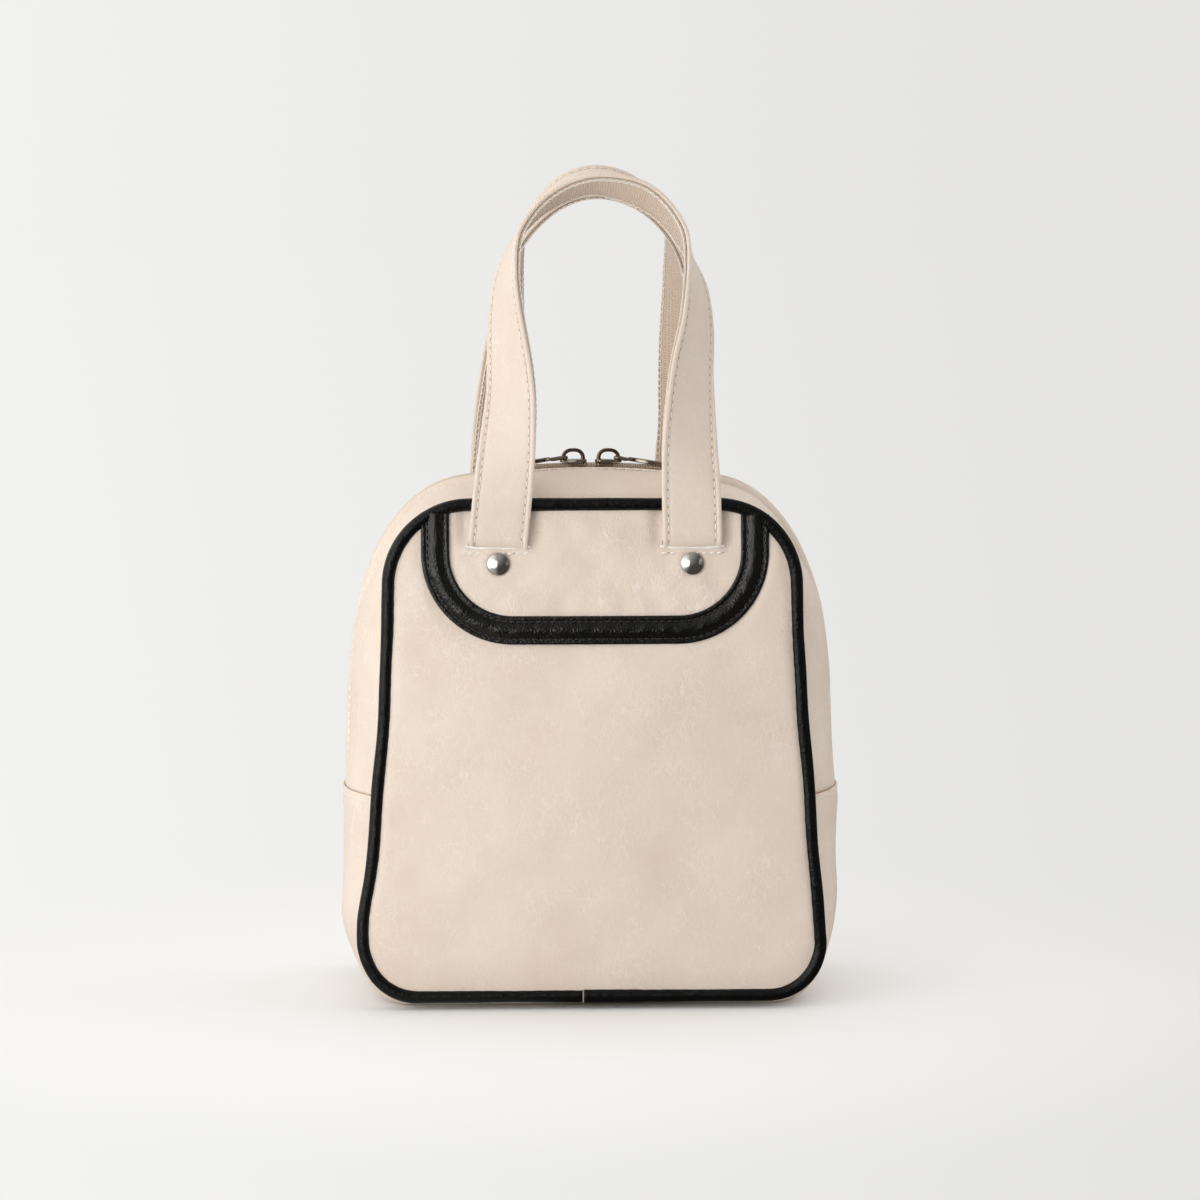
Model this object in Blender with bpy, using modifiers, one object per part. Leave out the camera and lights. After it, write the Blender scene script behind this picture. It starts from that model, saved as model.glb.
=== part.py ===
"""Bowler bag: two crowned faces, a zipped gusset between them and two strap handles.

Metres, +Z up. The origin is on the floor under the middle of the bag. The front faces -Y.
The bag is the same seen from the back, so each front piece has a back piece turned half a turn.
"""
import math

import bmesh
import bpy
from mathutils import Matrix, Vector

# Clearance between pieces that touch on the real bag
GAP = 0.0003

# Face outline, along the middle of the piping
PIPING_BOTTOM_Z = 0.0060
PIPING_TOP_Z = 0.2505
FACE_LOW_HALF_WIDTH = 0.1133
FACE_HIGH_HALF_WIDTH = 0.1012
FACE_LOW_RADIUS = 0.0260
FACE_HIGH_RADIUS = 0.0400
FACE_WAIST = 0.0016
FACE_CROWN = 0.0080
FACE_LOW_DEPTH = 0.1200
FACE_HIGH_DEPTH = 0.0970

# Gusset: how far its middle stands out beyond the piping, and its seams
GUSSET_LOW_BULGE = 0.0127
GUSSET_HIGH_BULGE = 0.0180
GUSSET_TOP_BULGE = 0.0165
GUSSET_LOW_Z = 0.0600
GUSSET_HIGH_Z = 0.1500
GUSSET_FOOT_HALF_WIDTH = 0.0950
GUSSET_SEAM_Z = 0.1050
GUSSET_FLAT_SHARE = 0.80
GUSSET_ROUND = 2.4
GUSSET_LOW_CORNER_SHARES = (0.65, 0.55)
GUSSET_HIGH_CORNER_SHARES = (0.46, 0.72)
ZIP_ARCH_RADIUS = 0.3750
ZIP_ARCH_HALF_SPAN = 0.0660
ZIP_OPENING_HALF_WIDTH = 0.0065

# Thicknesses of the leather, the lining and the boards
LEATHER_THICKNESS = 0.0016
LINING_THICKNESS = 0.0006
BOARD_THICKNESS = 0.0020
LINING_INSET = 0.0100

# Piping
PIPING_RADIUS = 0.0030
PIPING_WALL = 0.0009
PIPING_JOIN_GAP = 0.0006

# Black band on the yoke; its drop is from the piping's top to the middle of its lowest run
BAND_HALF_SPAN = 0.0800
BAND_DROP = 0.0615
BAND_CORNER_RADIUS = 0.0380
BAND_HALF_WIDTH = 0.0070
BAND_WALL = 0.0008
BAND_FILLER_HALF_WIDTH = 0.0036
BAND_FILLER_HEIGHT = 0.0013

# Straps and handles; the slot's drop is from the piping's top
STRAP_HALF_WIDTH = 0.0150
STRAP_LEATHER = 0.0015
STRAP_WEBBING = 0.0013
WEBBING_HALF_WIDTH = 0.0120
HANDLE_HALF_SPAN = 0.0480
HANDLE_RISE = 0.1818
HANDLE_TOP_CLEARANCE = 0.0020
HANDLE_BEND_RADIUS = 0.0600
HANDLE_BEND_START = 0.0230
HANDLE_TWIST_START_SHARE = 0.11
HANDLE_TWIST_EASE = 1.25
SLOT_DROP = 0.0195
SLOT_SIDE_CLEARANCE = 0.0004
HINGE_ABOVE_SLOT = 0.0035
STRAP_END_LENGTH = 0.0240

# Rivets
RIVET_BELOW_SLOT = 0.0095
RIVET_CAP_RADIUS = 0.0058
RIVET_CAP_RIM = 0.0008
RIVET_CAP_DOME = 0.0016
RIVET_POST_RADIUS = 0.0015
RIVET_BACK_RADIUS = 0.0045
RIVET_BACK_THICKNESS = 0.0012

# Zip
TAPE_HALF_WIDTH = 0.0140
TAPE_THICKNESS = 0.0005
COIL_WIDTH = 0.0026
COIL_HEIGHT = 0.0018
SLIDER_REST_X = 0.0080
SLIDER_LENGTH = 0.0135
SLIDER_HALF_WIDTH = 0.0046
SLIDER_PLATE = 0.0012
SLIDER_FOOT_PLATE = 0.0010
SLIDER_WEB_LENGTH = 0.0045
SLIDER_WEB_HALF_WIDTH = 0.0002
SLIDER_FLANGE = 0.0008
CROWN_LENGTH = 0.0114
CROWN_HEIGHT = 0.0048
CROWN_HALF_WIDTH = 0.0011
CROWN_BAR = 0.0014
LINK_BAR_RADIUS = 0.0007
LINK_LENGTH = 0.0098
LINK_CORNER_RADIUS = 0.0014
KNUCKLE_RADIUS = 0.0017
KNUCKLE_HALF_WIDTH = 0.0011
TAB_LENGTH = 0.0240
TAB_HALF_WIDTH = 0.0034
TAB_THICKNESS = 0.0014
TAB_EDGE = 0.0005

# Counts of segments; each half outline has one count per stretch
OUTLINE_STEPS = (2, 4, 2, 4, 5, 4)
GUSSET_ROW_SHARES = (0.0, 0.35, 0.62, 0.80, 0.91, 1.0)
LINING_FACE_SHARES = (1.0, 0.0)
TAPE_ROWS = 2
BAND_FOOT_STEPS = 4
STRAP_BEND_STEPS = 3
PANEL_ROWS = 5
YOKE_ROWS = 4
BAND_CORNER_STEPS = 6
HANDLE_STEPS = 38
ROUND_STEPS = 12
RIVET_DOME_STEPS = 3
TUBE_SIDES = 6
CROWN_CORNER_STEPS = 3
LINK_CORNER_STEPS = 3

# Points nearer than this are one point
MERGE_DISTANCE = 0.00003

# Faces that meet at more than this angle, in degrees, keep a sharp edge between them
SHARP_ANGLE = 40

# The handles' lean is looked for up to this angle, in degrees, by halving the range so many times
LEAN_LIMIT = 45
LEAN_HALVINGS = 40

# A cutter reaches this many thicknesses to each side of the sheet it cuts
CUT_OVERRUN_SHARE = 2.5

# Derived sizes that several pieces share
BAND_BOTTOM_Z = PIPING_TOP_Z - BAND_DROP
SLOT_Z = PIPING_TOP_Z - SLOT_DROP
RIVET_Z = SLOT_Z - RIVET_BELOW_SLOT
STRAP_THICKNESS = STRAP_LEATHER + GAP + STRAP_WEBBING
TAPE_TOP = -(LEATHER_THICKNESS + GAP)
TAPE_BOTTOM = TAPE_TOP - TAPE_THICKNESS
COIL_BOTTOM = TAPE_TOP + GAP
COIL_TOP = COIL_BOTTOM + COIL_HEIGHT
ZIP_EDGE_Y = SLIDER_WEB_HALF_WIDTH + GAP
ARCH_TOP_Z = PIPING_TOP_Z + GUSSET_TOP_BULGE
ARCH_CENTRE_Z = ARCH_TOP_Z - ZIP_ARCH_RADIUS
SLIDER_DECK = COIL_TOP + GAP + SLIDER_PLATE
LINK_HEIGHT = SLIDER_DECK + GAP + LINK_BAR_RADIUS
STRAP_DEPTH = LEATHER_THICKNESS + GAP + STRAP_THICKNESS / 2
RIVET_BACK_DEPTH = STRAP_DEPTH + STRAP_THICKNESS / 2 + GAP
LINING_SETBACK = RIVET_BACK_DEPTH + RIVET_BACK_THICKNESS + 2 * GAP
HINGE_Z = SLOT_Z + HINGE_ABOVE_SLOT
LINK_X = CROWN_LENGTH / 2 - CROWN_BAR - GAP - LINK_BAR_RADIUS


# Scene and mesh helpers

def clear_scene():
    for obj in list(bpy.data.objects):
        bpy.data.objects.remove(obj)


def make_collection(name):
    collection = bpy.data.collections.new(name)
    bpy.context.scene.collection.children.link(collection)
    return collection


def make_material(name, color, roughness, metallic=0.0):
    material = bpy.data.materials.new(name)
    material.use_nodes = True
    shader = material.node_tree.nodes["Principled BSDF"]
    shader.inputs["Base Color"].default_value = (*color, 1.0)
    shader.inputs["Roughness"].default_value = roughness
    shader.inputs["Metallic"].default_value = metallic
    return material


def add_object(name, mesh, material, collection, matrix=None):
    obj = bpy.data.objects.new(name, mesh)
    collection.objects.link(obj)
    mesh.materials.clear()
    mesh.materials.append(material)
    if matrix is not None:
        obj.matrix_world = matrix
    return obj


def shade_round(mesh):
    """Smooth shading, sharp where faces meet at a wide angle."""
    mesh.shade_smooth()
    mesh.set_sharp_from_angle(angle=math.radians(SHARP_ANGLE))


def mesh_from_bmesh(bm, name):
    bmesh.ops.recalc_face_normals(bm, faces=bm.faces)
    mesh = bpy.data.meshes.new(name)
    bm.to_mesh(mesh)
    bm.free()
    return mesh


def grid_mesh(rows, closed=False):
    """Open surface through rows of points; a closed grid joins each row's last point to its first."""
    bm = bmesh.new()
    verts = [[bm.verts.new(point) for point in row] for row in rows]
    for lower, upper in zip(verts, verts[1:]):
        count = len(lower)
        for i in range(count if closed else count - 1):
            j = (i + 1) % count
            bm.faces.new((lower[i], lower[j], upper[j], upper[i]))
    bmesh.ops.remove_doubles(bm, verts=bm.verts, dist=MERGE_DISTANCE)
    return bm


def sheet(name, rows, thickness, material, collection, looks, closed=False, offset=-1.0, split=False):
    """A surface through rows of points, thickened away from its face.

    looks gives, for a point of the face, the direction that the face looks in there.
    """
    bm = grid_mesh(rows, closed)
    if split:
        bmesh.ops.triangulate(bm, faces=bm.faces, quad_method='FIXED')
    bmesh.ops.recalc_face_normals(bm, faces=bm.faces)
    face = max(bm.faces, key=lambda f: f.calc_area())
    if face.normal.dot(Vector(looks(face.calc_center_median()))) < 0:
        bmesh.ops.reverse_faces(bm, faces=bm.faces)
    mesh = bpy.data.meshes.new(name)
    bm.to_mesh(mesh)
    bm.free()
    shade_round(mesh)
    obj = add_object(name, mesh, material, collection)
    modifier = obj.modifiers.new("thickness", 'SOLIDIFY')
    modifier.thickness = thickness
    modifier.offset = offset
    obj.modifiers.new("triangles", 'TRIANGULATE')
    return obj


def swept_solid(name, sections, material, collection):
    """A solid through closed cross-sections, capped at both ends."""
    bm = bmesh.new()
    rings = [[bm.verts.new(point) for point in section] for section in sections]
    for first, second in zip(rings, rings[1:]):
        count = len(first)
        for i in range(count):
            j = (i + 1) % count
            bm.faces.new((first[i], first[j], second[j], second[i]))
    bm.faces.new(rings[0])
    bm.faces.new(rings[-1])
    mesh = mesh_from_bmesh(bm, name)
    shade_round(mesh)
    return add_object(name, mesh, material, collection)


def box_mesh(name, low, high):
    """A box between two corners, from a unit cube."""
    low = Vector(low)
    high = Vector(high)
    bm = bmesh.new()
    matrix = Matrix.Translation((low + high) / 2) @ Matrix.Diagonal((*(high - low), 1.0))
    bmesh.ops.create_cube(bm, size=1.0, matrix=matrix)
    return mesh_from_bmesh(bm, name)


def cylinder_mesh(name, radius, start, end, axis='Z'):
    """A cylinder from start to end along its axis."""
    bm = bmesh.new()
    turn = Matrix.Rotation(math.radians(90), 4, 'X') if axis == 'Y' else Matrix.Identity(4)
    shift = Matrix.Translation((0, 0, (start + end) / 2))
    bmesh.ops.create_cone(bm, cap_ends=True, segments=ROUND_STEPS, radius1=radius, radius2=radius,
                          depth=end - start, matrix=turn @ shift)
    return mesh_from_bmesh(bm, name)


def turned_mesh(name, profile, material, collection, matrix):
    """A solid of revolution about local Z from a profile that runs from the top down."""
    mesh = bpy.data.meshes.new(name)
    mesh.from_pydata([(x, 0, z) for x, z in profile], [(i, i + 1) for i in range(len(profile) - 1)], [])
    obj = add_object(name, mesh, material, collection, matrix)
    screw = obj.modifiers.new("turn", 'SCREW')
    screw.steps = ROUND_STEPS
    screw.render_steps = ROUND_STEPS
    screw.use_merge_vertices = True
    screw.merge_threshold = MERGE_DISTANCE
    return obj


def boolean(obj, cutter, operation='DIFFERENCE'):
    modifier = obj.modifiers.new("boolean", 'BOOLEAN')
    modifier.operation = operation
    modifier.object = cutter
    modifier.solver = 'EXACT'


def bevel(obj, width):
    modifier = obj.modifiers.new("edges", 'BEVEL')
    modifier.width = width
    modifier.segments = 1
    modifier.limit_method = 'ANGLE'


def add_cutter(name, mesh, collection, matrix=None):
    cutter = bpy.data.objects.new(name, mesh)
    collection.objects.link(cutter)
    cutter.hide_render = True
    cutter.display_type = 'WIRE'
    if matrix is not None:
        cutter.matrix_world = matrix
    return cutter


def apply_modifiers(obj):
    """Put the evaluated mesh in place of the modifiers."""
    graph = bpy.context.evaluated_depsgraph_get()
    mesh = bpy.data.meshes.new_from_object(obj.evaluated_get(graph))
    obj.modifiers.clear()
    shade_round(mesh)
    obj.data = mesh
    return obj


def back_name(name):
    """The name of a front piece's copy at the back; left and right stay those of the front view."""
    swapped = {"left": "right", "right": "left"}
    return "_".join(swapped.get(word, word) for word in name.replace("front", "back").split("_"))


def turned_back(obj, name, collection, material):
    """A copy of a front piece, turned half a turn about Z."""
    graph = bpy.context.evaluated_depsgraph_get()
    mesh = bpy.data.meshes.new_from_object(obj.evaluated_get(graph))
    mesh.transform(Matrix.Rotation(math.pi, 4, 'Z') @ obj.matrix_world)
    return add_object(name, mesh, material, collection)


# Outlines in the XZ plane

def lerp(a, b, share):
    return a + (b - a) * share


def arc_points(centre, radius, start, end, steps):
    """Points of an arc; angles in degrees from +X towards +Z."""
    points = []
    for i in range(steps + 1):
        angle = math.radians(lerp(start, end, i / steps))
        points.append((centre[0] + radius * math.cos(angle), centre[1] + radius * math.sin(angle)))
    return points


def bezier_points(p0, p1, p2, p3, steps):
    points = []
    for i in range(steps + 1):
        t = i / steps
        weights = ((1 - t) ** 3, 3 * t * (1 - t) ** 2, 3 * t * t * (1 - t), t ** 3)
        points.append(tuple(sum(w * p[k] for w, p in zip(weights, (p0, p1, p2, p3))) for k in (0, 1)))
    return points


def line_points(start, end, steps):
    return [(lerp(start[0], end[0], i / steps), lerp(start[1], end[1], i / steps)) for i in range(steps + 1)]


def chain(*stretches):
    """Join stretches whose ends meet, without the doubled points."""
    points = list(stretches[0])
    for stretch in stretches[1:]:
        points.extend(stretch[1:])
    return points


def full_loop(half):
    """Closed loop from a right half that runs from the bottom middle to the top middle."""
    left = [(-x, z) for x, z in reversed(half[1:-1])]
    return list(half) + left


def side_x(z):
    """Half width of the face's side at a height between its two corners."""
    low = PIPING_BOTTOM_Z + FACE_LOW_RADIUS
    high = PIPING_TOP_Z - FACE_HIGH_RADIUS
    share = (z - low) / (high - low)
    return lerp(FACE_LOW_HALF_WIDTH, FACE_HIGH_HALF_WIDTH, share) - 4 * FACE_WAIST * share * (1 - share)


def side_points(start_z, end_z, steps):
    heights = [lerp(start_z, end_z, i / steps) for i in range(steps + 1)]
    return [(side_x(z), z) for z in heights]


def face_half_outline():
    low_centre = (FACE_LOW_HALF_WIDTH - FACE_LOW_RADIUS, PIPING_BOTTOM_Z + FACE_LOW_RADIUS)
    high_centre = (FACE_HIGH_HALF_WIDTH - FACE_HIGH_RADIUS, PIPING_TOP_Z - FACE_HIGH_RADIUS)
    foot, low_corner, low_side, high_side, high_corner, top = OUTLINE_STEPS
    return chain(
        line_points((0, PIPING_BOTTOM_Z), (low_centre[0], PIPING_BOTTOM_Z), foot),
        arc_points(low_centre, FACE_LOW_RADIUS, -90, 0, low_corner),
        side_points(low_centre[1], GUSSET_SEAM_Z, low_side),
        side_points(GUSSET_SEAM_Z, high_centre[1], high_side),
        arc_points(high_centre, FACE_HIGH_RADIUS, 0, 90, high_corner),
        line_points((high_centre[0], PIPING_TOP_Z), (0, PIPING_TOP_Z), top))


def ridge_half_outline():
    """The gusset's outer face half way between front and back, stretch for stretch as the face outline."""
    low_x = FACE_LOW_HALF_WIDTH + GUSSET_LOW_BULGE
    high_x = side_x(GUSSET_HIGH_Z) + GUSSET_HIGH_BULGE
    seam_share = (GUSSET_SEAM_Z - GUSSET_LOW_Z) / (GUSSET_HIGH_Z - GUSSET_LOW_Z)
    seam = (lerp(low_x, high_x, seam_share), GUSSET_SEAM_Z)
    arch_angle = math.degrees(math.asin(ZIP_ARCH_HALF_SPAN / ZIP_ARCH_RADIUS))
    arch = arc_points((0, ARCH_CENTRE_Z), ZIP_ARCH_RADIUS, 90 - arch_angle, 90, OUTLINE_STEPS[5])
    end = arch[0]
    arch_tangent = Vector((end[1] - ARCH_CENTRE_Z, -end[0])).normalized()
    along_foot, down_side = GUSSET_LOW_CORNER_SHARES
    up_side, along_arch = GUSSET_HIGH_CORNER_SHARES
    foot = (GUSSET_FOOT_HALF_WIDTH, 0)
    low = (low_x, GUSSET_LOW_Z)
    high = (high_x, GUSSET_HIGH_Z)
    steps = OUTLINE_STEPS
    return chain(
        line_points((0, 0), foot, steps[0]),
        bezier_points(foot, (lerp(foot[0], low_x, along_foot), 0),
                      (low_x, lerp(GUSSET_LOW_Z, 0, down_side)), low, steps[1]),
        line_points(low, seam, steps[2]),
        line_points(seam, high, steps[3]),
        bezier_points(high, (high_x, lerp(GUSSET_HIGH_Z, end[1], up_side)),
                      tuple(Vector(end) + arch_tangent * (along_arch * (high_x - end[0]))), end, steps[4]),
        arch)


def loop_normals(loop):
    """Unit normals that point out of a loop that runs anticlockwise."""
    normals = []
    count = len(loop)
    for i in range(count):
        before = Vector(loop[i - 1])
        after = Vector(loop[(i + 1) % count])
        along = (after - before).normalized()
        normals.append(Vector((along.y, -along.x)))
    return normals


def offset_loop(loop, distance):
    return [tuple(Vector(p) + n * distance) for p, n in zip(loop, loop_normals(loop))]


# The crowned face

def half_depth(z):
    """Distance of the piping's middle from the bag's middle plane at a height."""
    share = (z - PIPING_BOTTOM_Z) / (PIPING_TOP_Z - PIPING_BOTTOM_Z)
    return lerp(FACE_LOW_DEPTH, FACE_HIGH_DEPTH, share) / 2


def face_half_width(z):
    """Half width of the face outline at any height."""
    low = PIPING_BOTTOM_Z + FACE_LOW_RADIUS
    high = PIPING_TOP_Z - FACE_HIGH_RADIUS
    if z < low:
        drop = min(low - z, FACE_LOW_RADIUS)
        return FACE_LOW_HALF_WIDTH - FACE_LOW_RADIUS + math.sqrt(FACE_LOW_RADIUS ** 2 - drop ** 2)
    if z > high:
        rise = min(z - high, FACE_HIGH_RADIUS)
        return FACE_HIGH_HALF_WIDTH - FACE_HIGH_RADIUS + math.sqrt(FACE_HIGH_RADIUS ** 2 - rise ** 2)
    return side_x(z)


def face_point(x, z, outward=0.0):
    """A point on the front face's outer side, or a distance in front of it."""
    middle = (PIPING_BOTTOM_Z + PIPING_TOP_Z) / 2
    reach = (PIPING_TOP_Z - PIPING_BOTTOM_Z) / 2
    across = max(0.0, 1 - (x / face_half_width(z)) ** 2)
    upright = max(0.0, 1 - ((z - middle) / reach) ** 2)
    crown = FACE_CROWN * across * upright
    return Vector((x, -(half_depth(z) + LEATHER_THICKNESS / 2 + crown + outward), z))


def face_matrix(x, z):
    """A frame on the front face: local Z looks out of the face, local X runs to the right."""
    step = LEATHER_THICKNESS
    along_x = (face_point(x + step, z) - face_point(x - step, z)).normalized()
    along_z = (face_point(x, z + step) - face_point(x, z - step)).normalized()
    normal = along_x.cross(along_z).normalized()
    up = normal.cross(along_x)
    return Matrix.Translation(face_point(x, z)) @ Matrix((along_x, up, normal)).transposed().to_4x4()


# The U-shaped join of yoke and panel, and the band over it

def top_edge_z(x):
    """Height of the face pieces' top edge, just inside the piping, at a distance from the middle."""
    inset = PIPING_RADIUS + GAP
    corner_x = FACE_HIGH_HALF_WIDTH - FACE_HIGH_RADIUS
    if abs(x) <= corner_x:
        return PIPING_TOP_Z - inset
    radius = FACE_HIGH_RADIUS - inset
    return PIPING_TOP_Z - FACE_HIGH_RADIUS + math.sqrt(max(radius ** 2 - (abs(x) - corner_x) ** 2, 0.0))


def band_path():
    """Middle of the band, from its left top end round the bottom to its right top end."""
    corner_z = BAND_BOTTOM_Z + BAND_CORNER_RADIUS
    corner_x = BAND_HALF_SPAN - BAND_CORNER_RADIUS
    top = (BAND_HALF_SPAN, top_edge_z(BAND_HALF_SPAN))
    return chain(
        line_points((-top[0], top[1]), (-BAND_HALF_SPAN, corner_z), 1),
        arc_points((-corner_x, corner_z), BAND_CORNER_RADIUS, 180, 270, BAND_CORNER_STEPS),
        line_points((-corner_x, BAND_BOTTOM_Z), (corner_x, BAND_BOTTOM_Z), BAND_FOOT_STEPS),
        arc_points((corner_x, corner_z), BAND_CORNER_RADIUS, 270, 360, BAND_CORNER_STEPS),
        line_points((BAND_HALF_SPAN, corner_z), top, 1))


def path_normals(path):
    """Unit normals to the right of an open path; on the band's path they point out of the U."""
    normals = []
    for i in range(len(path)):
        before = Vector(path[max(i - 1, 0)])
        after = Vector(path[min(i + 1, len(path) - 1)])
        along = (after - before).normalized()
        normals.append(Vector((along.y, -along.x)))
    return normals


def resampled(path, count):
    """The path as count points at equal steps along it."""
    lengths = [0.0]
    for a, b in zip(path, path[1:]):
        lengths.append(lengths[-1] + (Vector(b) - Vector(a)).length)
    points = []
    k = 0
    for i in range(count):
        target = lengths[-1] * i / (count - 1)
        while k < len(path) - 2 and lengths[k + 1] < target:
            k += 1
        share = min((target - lengths[k]) / (lengths[k + 1] - lengths[k]), 1.0)
        points.append(tuple(Vector(path[k]).lerp(Vector(path[k + 1]), share)))
    return points


def panel_edge():
    """The panel's outer edge from the band's left end round the bottom to its right end."""
    loop = offset_loop(full_loop(face_half_outline()), -(PIPING_RADIUS + GAP))
    corner_z = PIPING_TOP_Z - FACE_HIGH_RADIUS
    kept = [p for p in loop if p[1] < corner_z or abs(p[0]) > BAND_HALF_SPAN + BAND_HALF_WIDTH / 3]
    start = next(i for i, p in enumerate(kept) if p[0] < 0)
    end_x = BAND_HALF_SPAN + BAND_HALF_WIDTH / 5
    end = (end_x, top_edge_z(end_x))
    return [(-end[0], end[1])] + kept[start:] + kept[:start] + [end]


def join_line(count, outward):
    """The U where yoke and panel meet, moved out of the U by a distance."""
    path = band_path()
    moved = [tuple(Vector(p) + n * outward) for p, n in zip(path, path_normals(path))]
    return resampled(moved, count)


def face_rows(first, last, steps):
    """Rows of points on the front face between two lines with as many points each."""
    rows = []
    for row in range(steps + 1):
        share = row / steps
        rows.append([face_point(*Vector(a).lerp(Vector(b), share)) for a, b in zip(first, last)])
    return rows


def looks_front(_point):
    return (0, -1, 0)


def make_front_panel(leather, parts):
    edge = panel_edge()
    rows = face_rows(join_line(len(edge), GAP / 2), edge, PANEL_ROWS)
    return sheet("front_panel", rows, LEATHER_THICKNESS, leather, parts, looks_front)


def make_front_yoke(leather, parts, cutters):
    count = len(panel_edge())
    end = BAND_HALF_SPAN - GAP / 2
    top = [(lerp(-end, end, i / (count - 1)), 0) for i in range(count)]
    top = [(x, top_edge_z(x)) for x, _z in top]
    rows = face_rows(top, join_line(count, -GAP / 2), YOKE_ROWS)
    yoke = sheet("front_yoke", rows, LEATHER_THICKNESS, leather, parts, looks_front)
    reach = LEATHER_THICKNESS * CUT_OVERRUN_SHARE
    half_height = STRAP_THICKNESS / 2 + GAP
    half_width = STRAP_HALF_WIDTH + SLOT_SIDE_CLEARANCE
    for side, name in ((-1, "left"), (1, "right")):
        x = side * HANDLE_HALF_SPAN
        slot = box_mesh("slot", (-half_width, -half_height, -reach), (half_width, half_height, reach))
        boolean(yoke, add_cutter("front_%s_slot_cutter" % name, slot, cutters, face_matrix(x, SLOT_Z)))
        hole = cylinder_mesh("hole", RIVET_POST_RADIUS + GAP, -reach, reach)
        boolean(yoke, add_cutter("front_%s_hole_cutter" % name, hole, cutters, face_matrix(x, RIVET_Z)))
    return apply_modifiers(yoke)


def band_section_points(point, normal, section, is_end):
    """One cross-section on the face; section is (distance across, height) pairs."""
    points = []
    for across, height in section:
        x, z = Vector(point) + normal * across
        if is_end:
            z = top_edge_z(x)
        points.append(face_point(x, z, height))
    return points


def band_sections(section):
    path = band_path()
    last = len(path) - 1
    return [band_section_points(p, n, section, i in (0, last))
            for i, (p, n) in enumerate(zip(path, path_normals(path)))]


def make_front_band(black, parts):
    rim = GAP + BAND_WALL
    top = rim + BAND_FILLER_HEIGHT + GAP
    shoulder = BAND_FILLER_HALF_WIDTH + BAND_WALL + 2 * GAP
    crest = (BAND_FILLER_HALF_WIDTH + BAND_WALL) / 2
    section = [(-BAND_HALF_WIDTH, rim), (-shoulder, rim), (-crest, top), (crest, top), (shoulder, rim),
               (BAND_HALF_WIDTH, rim)]
    return sheet("front_band", band_sections(section), BAND_WALL, black, parts, looks_front)


def make_front_band_filler(foam, parts):
    top = GAP + BAND_FILLER_HEIGHT
    width = BAND_FILLER_HALF_WIDTH
    section = [(-width, GAP), (-width / 2, top), (width / 2, top), (width, GAP)]
    return swept_solid("front_band_filler", band_sections(section), foam, parts)


# Piping round the face

def piping_path():
    """Middle of the piping from one side of its join at the bottom round to the other."""
    loop = full_loop(face_half_outline())
    join = PIPING_JOIN_GAP / 2
    return [(join, loop[0][1])] + loop[1:] + [(-join, loop[0][1])]


def tube_curve(name, points, radius, material, collection, cyclic=False, caps=True):
    """A tube with straight runs between points, as a curve with a bevel depth."""
    curve = bpy.data.curves.new(name, 'CURVE')
    curve.dimensions = '3D'
    curve.bevel_depth = radius
    curve.bevel_resolution = (TUBE_SIDES - 4) // 2
    curve.use_fill_caps = caps
    spline = curve.splines.new('POLY')
    spline.points.add(len(points) - 1)
    for target, point in zip(spline.points, points):
        target.co = (*point, 1.0)
    spline.use_cyclic_u = cyclic
    curve.materials.append(material)
    obj = bpy.data.objects.new(name, curve)
    collection.objects.link(obj)
    return obj


def make_front_piping(black, cord_material, parts):
    path = [(x, -half_depth(z), z) for x, z in piping_path()]
    cover = tube_curve("front_piping", path, PIPING_RADIUS, black, parts, caps=False)
    wall = cover.modifiers.new("thickness", 'SOLIDIFY')
    wall.thickness = PIPING_WALL
    wall.offset = -1.0
    facet = math.cos(math.pi / TUBE_SIDES)
    core_radius = PIPING_RADIUS - (PIPING_WALL + GAP) / facet
    cord = tube_curve("front_piping_cord", path, core_radius, cord_material, parts)
    return cover, cord


# Gusset between the faces

def flat_weight(index):
    """How much of the flat foot a point of the half outline has: 1 on the foot, 0 above its corner."""
    foot, corner = OUTLINE_STEPS[:2]
    return min(max(1 - (index - foot) / corner, 0.0), 1.0)


def gusset_lines():
    """For each point round the bag: face outline point, ridge point, outward normal, flat weight."""
    face = full_loop(face_half_outline())
    ridge = full_loop(ridge_half_outline())
    count = len(face)
    weights = [flat_weight(min(i, count - i)) for i in range(count)]
    return list(zip(face, ridge, loop_normals(ridge), weights))


def gusset_skin(line, y):
    """A point of the gusset's outer side at a distance y from the middle plane."""
    face, ridge, _normal, weight = line
    share = abs(y) / gusset_half_depth(line)
    flat = GUSSET_FLAT_SHARE * weight
    across = min(max((share - flat) / (1 - flat), 0.0), 1.0)
    point = Vector(ridge).lerp(Vector(face), across ** GUSSET_ROUND)
    return Vector((point.x, y, point.y))


def gusset_point(line, y, inward=0.0):
    """A point of the gusset's outer side, or a distance inside it, square to its slope."""
    normal = Vector((line[2].x, 0, line[2].y))
    step = LEATHER_THICKNESS / 2
    slope = (gusset_skin(line, y + step) - gusset_skin(line, y - step)).dot(normal) / (2 * step)
    square = Vector((normal.x, -slope, normal.z)).normalized()
    return gusset_skin(line, y) - square * inward


def gusset_half_depth(line):
    return half_depth(line[0][1]) - PIPING_RADIUS - GAP


def seam_index():
    return sum(OUTLINE_STEPS[:3])


def upper_lines(shift):
    """The gusset's lines from the right seam over the top to the left seam, ends moved up by shift."""
    lines = gusset_lines()
    seam = seam_index()
    return moved_ends(lines[seam:len(lines) - seam + 1], shift)


def lower_lines(shift):
    lines = gusset_lines()
    seam = seam_index()
    return moved_ends(lines[len(lines) - seam:] + lines[:seam + 1], -shift)


def moved_ends(lines, shift):
    """The lines with the first and last moved up along the gusset."""
    moved = list(lines)
    for i in (0, -1):
        face, ridge, normal, weight = lines[i]
        moved[i] = ((face[0], face[1] + shift), (ridge[0], ridge[1] + shift), normal, weight)
    return moved


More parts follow.
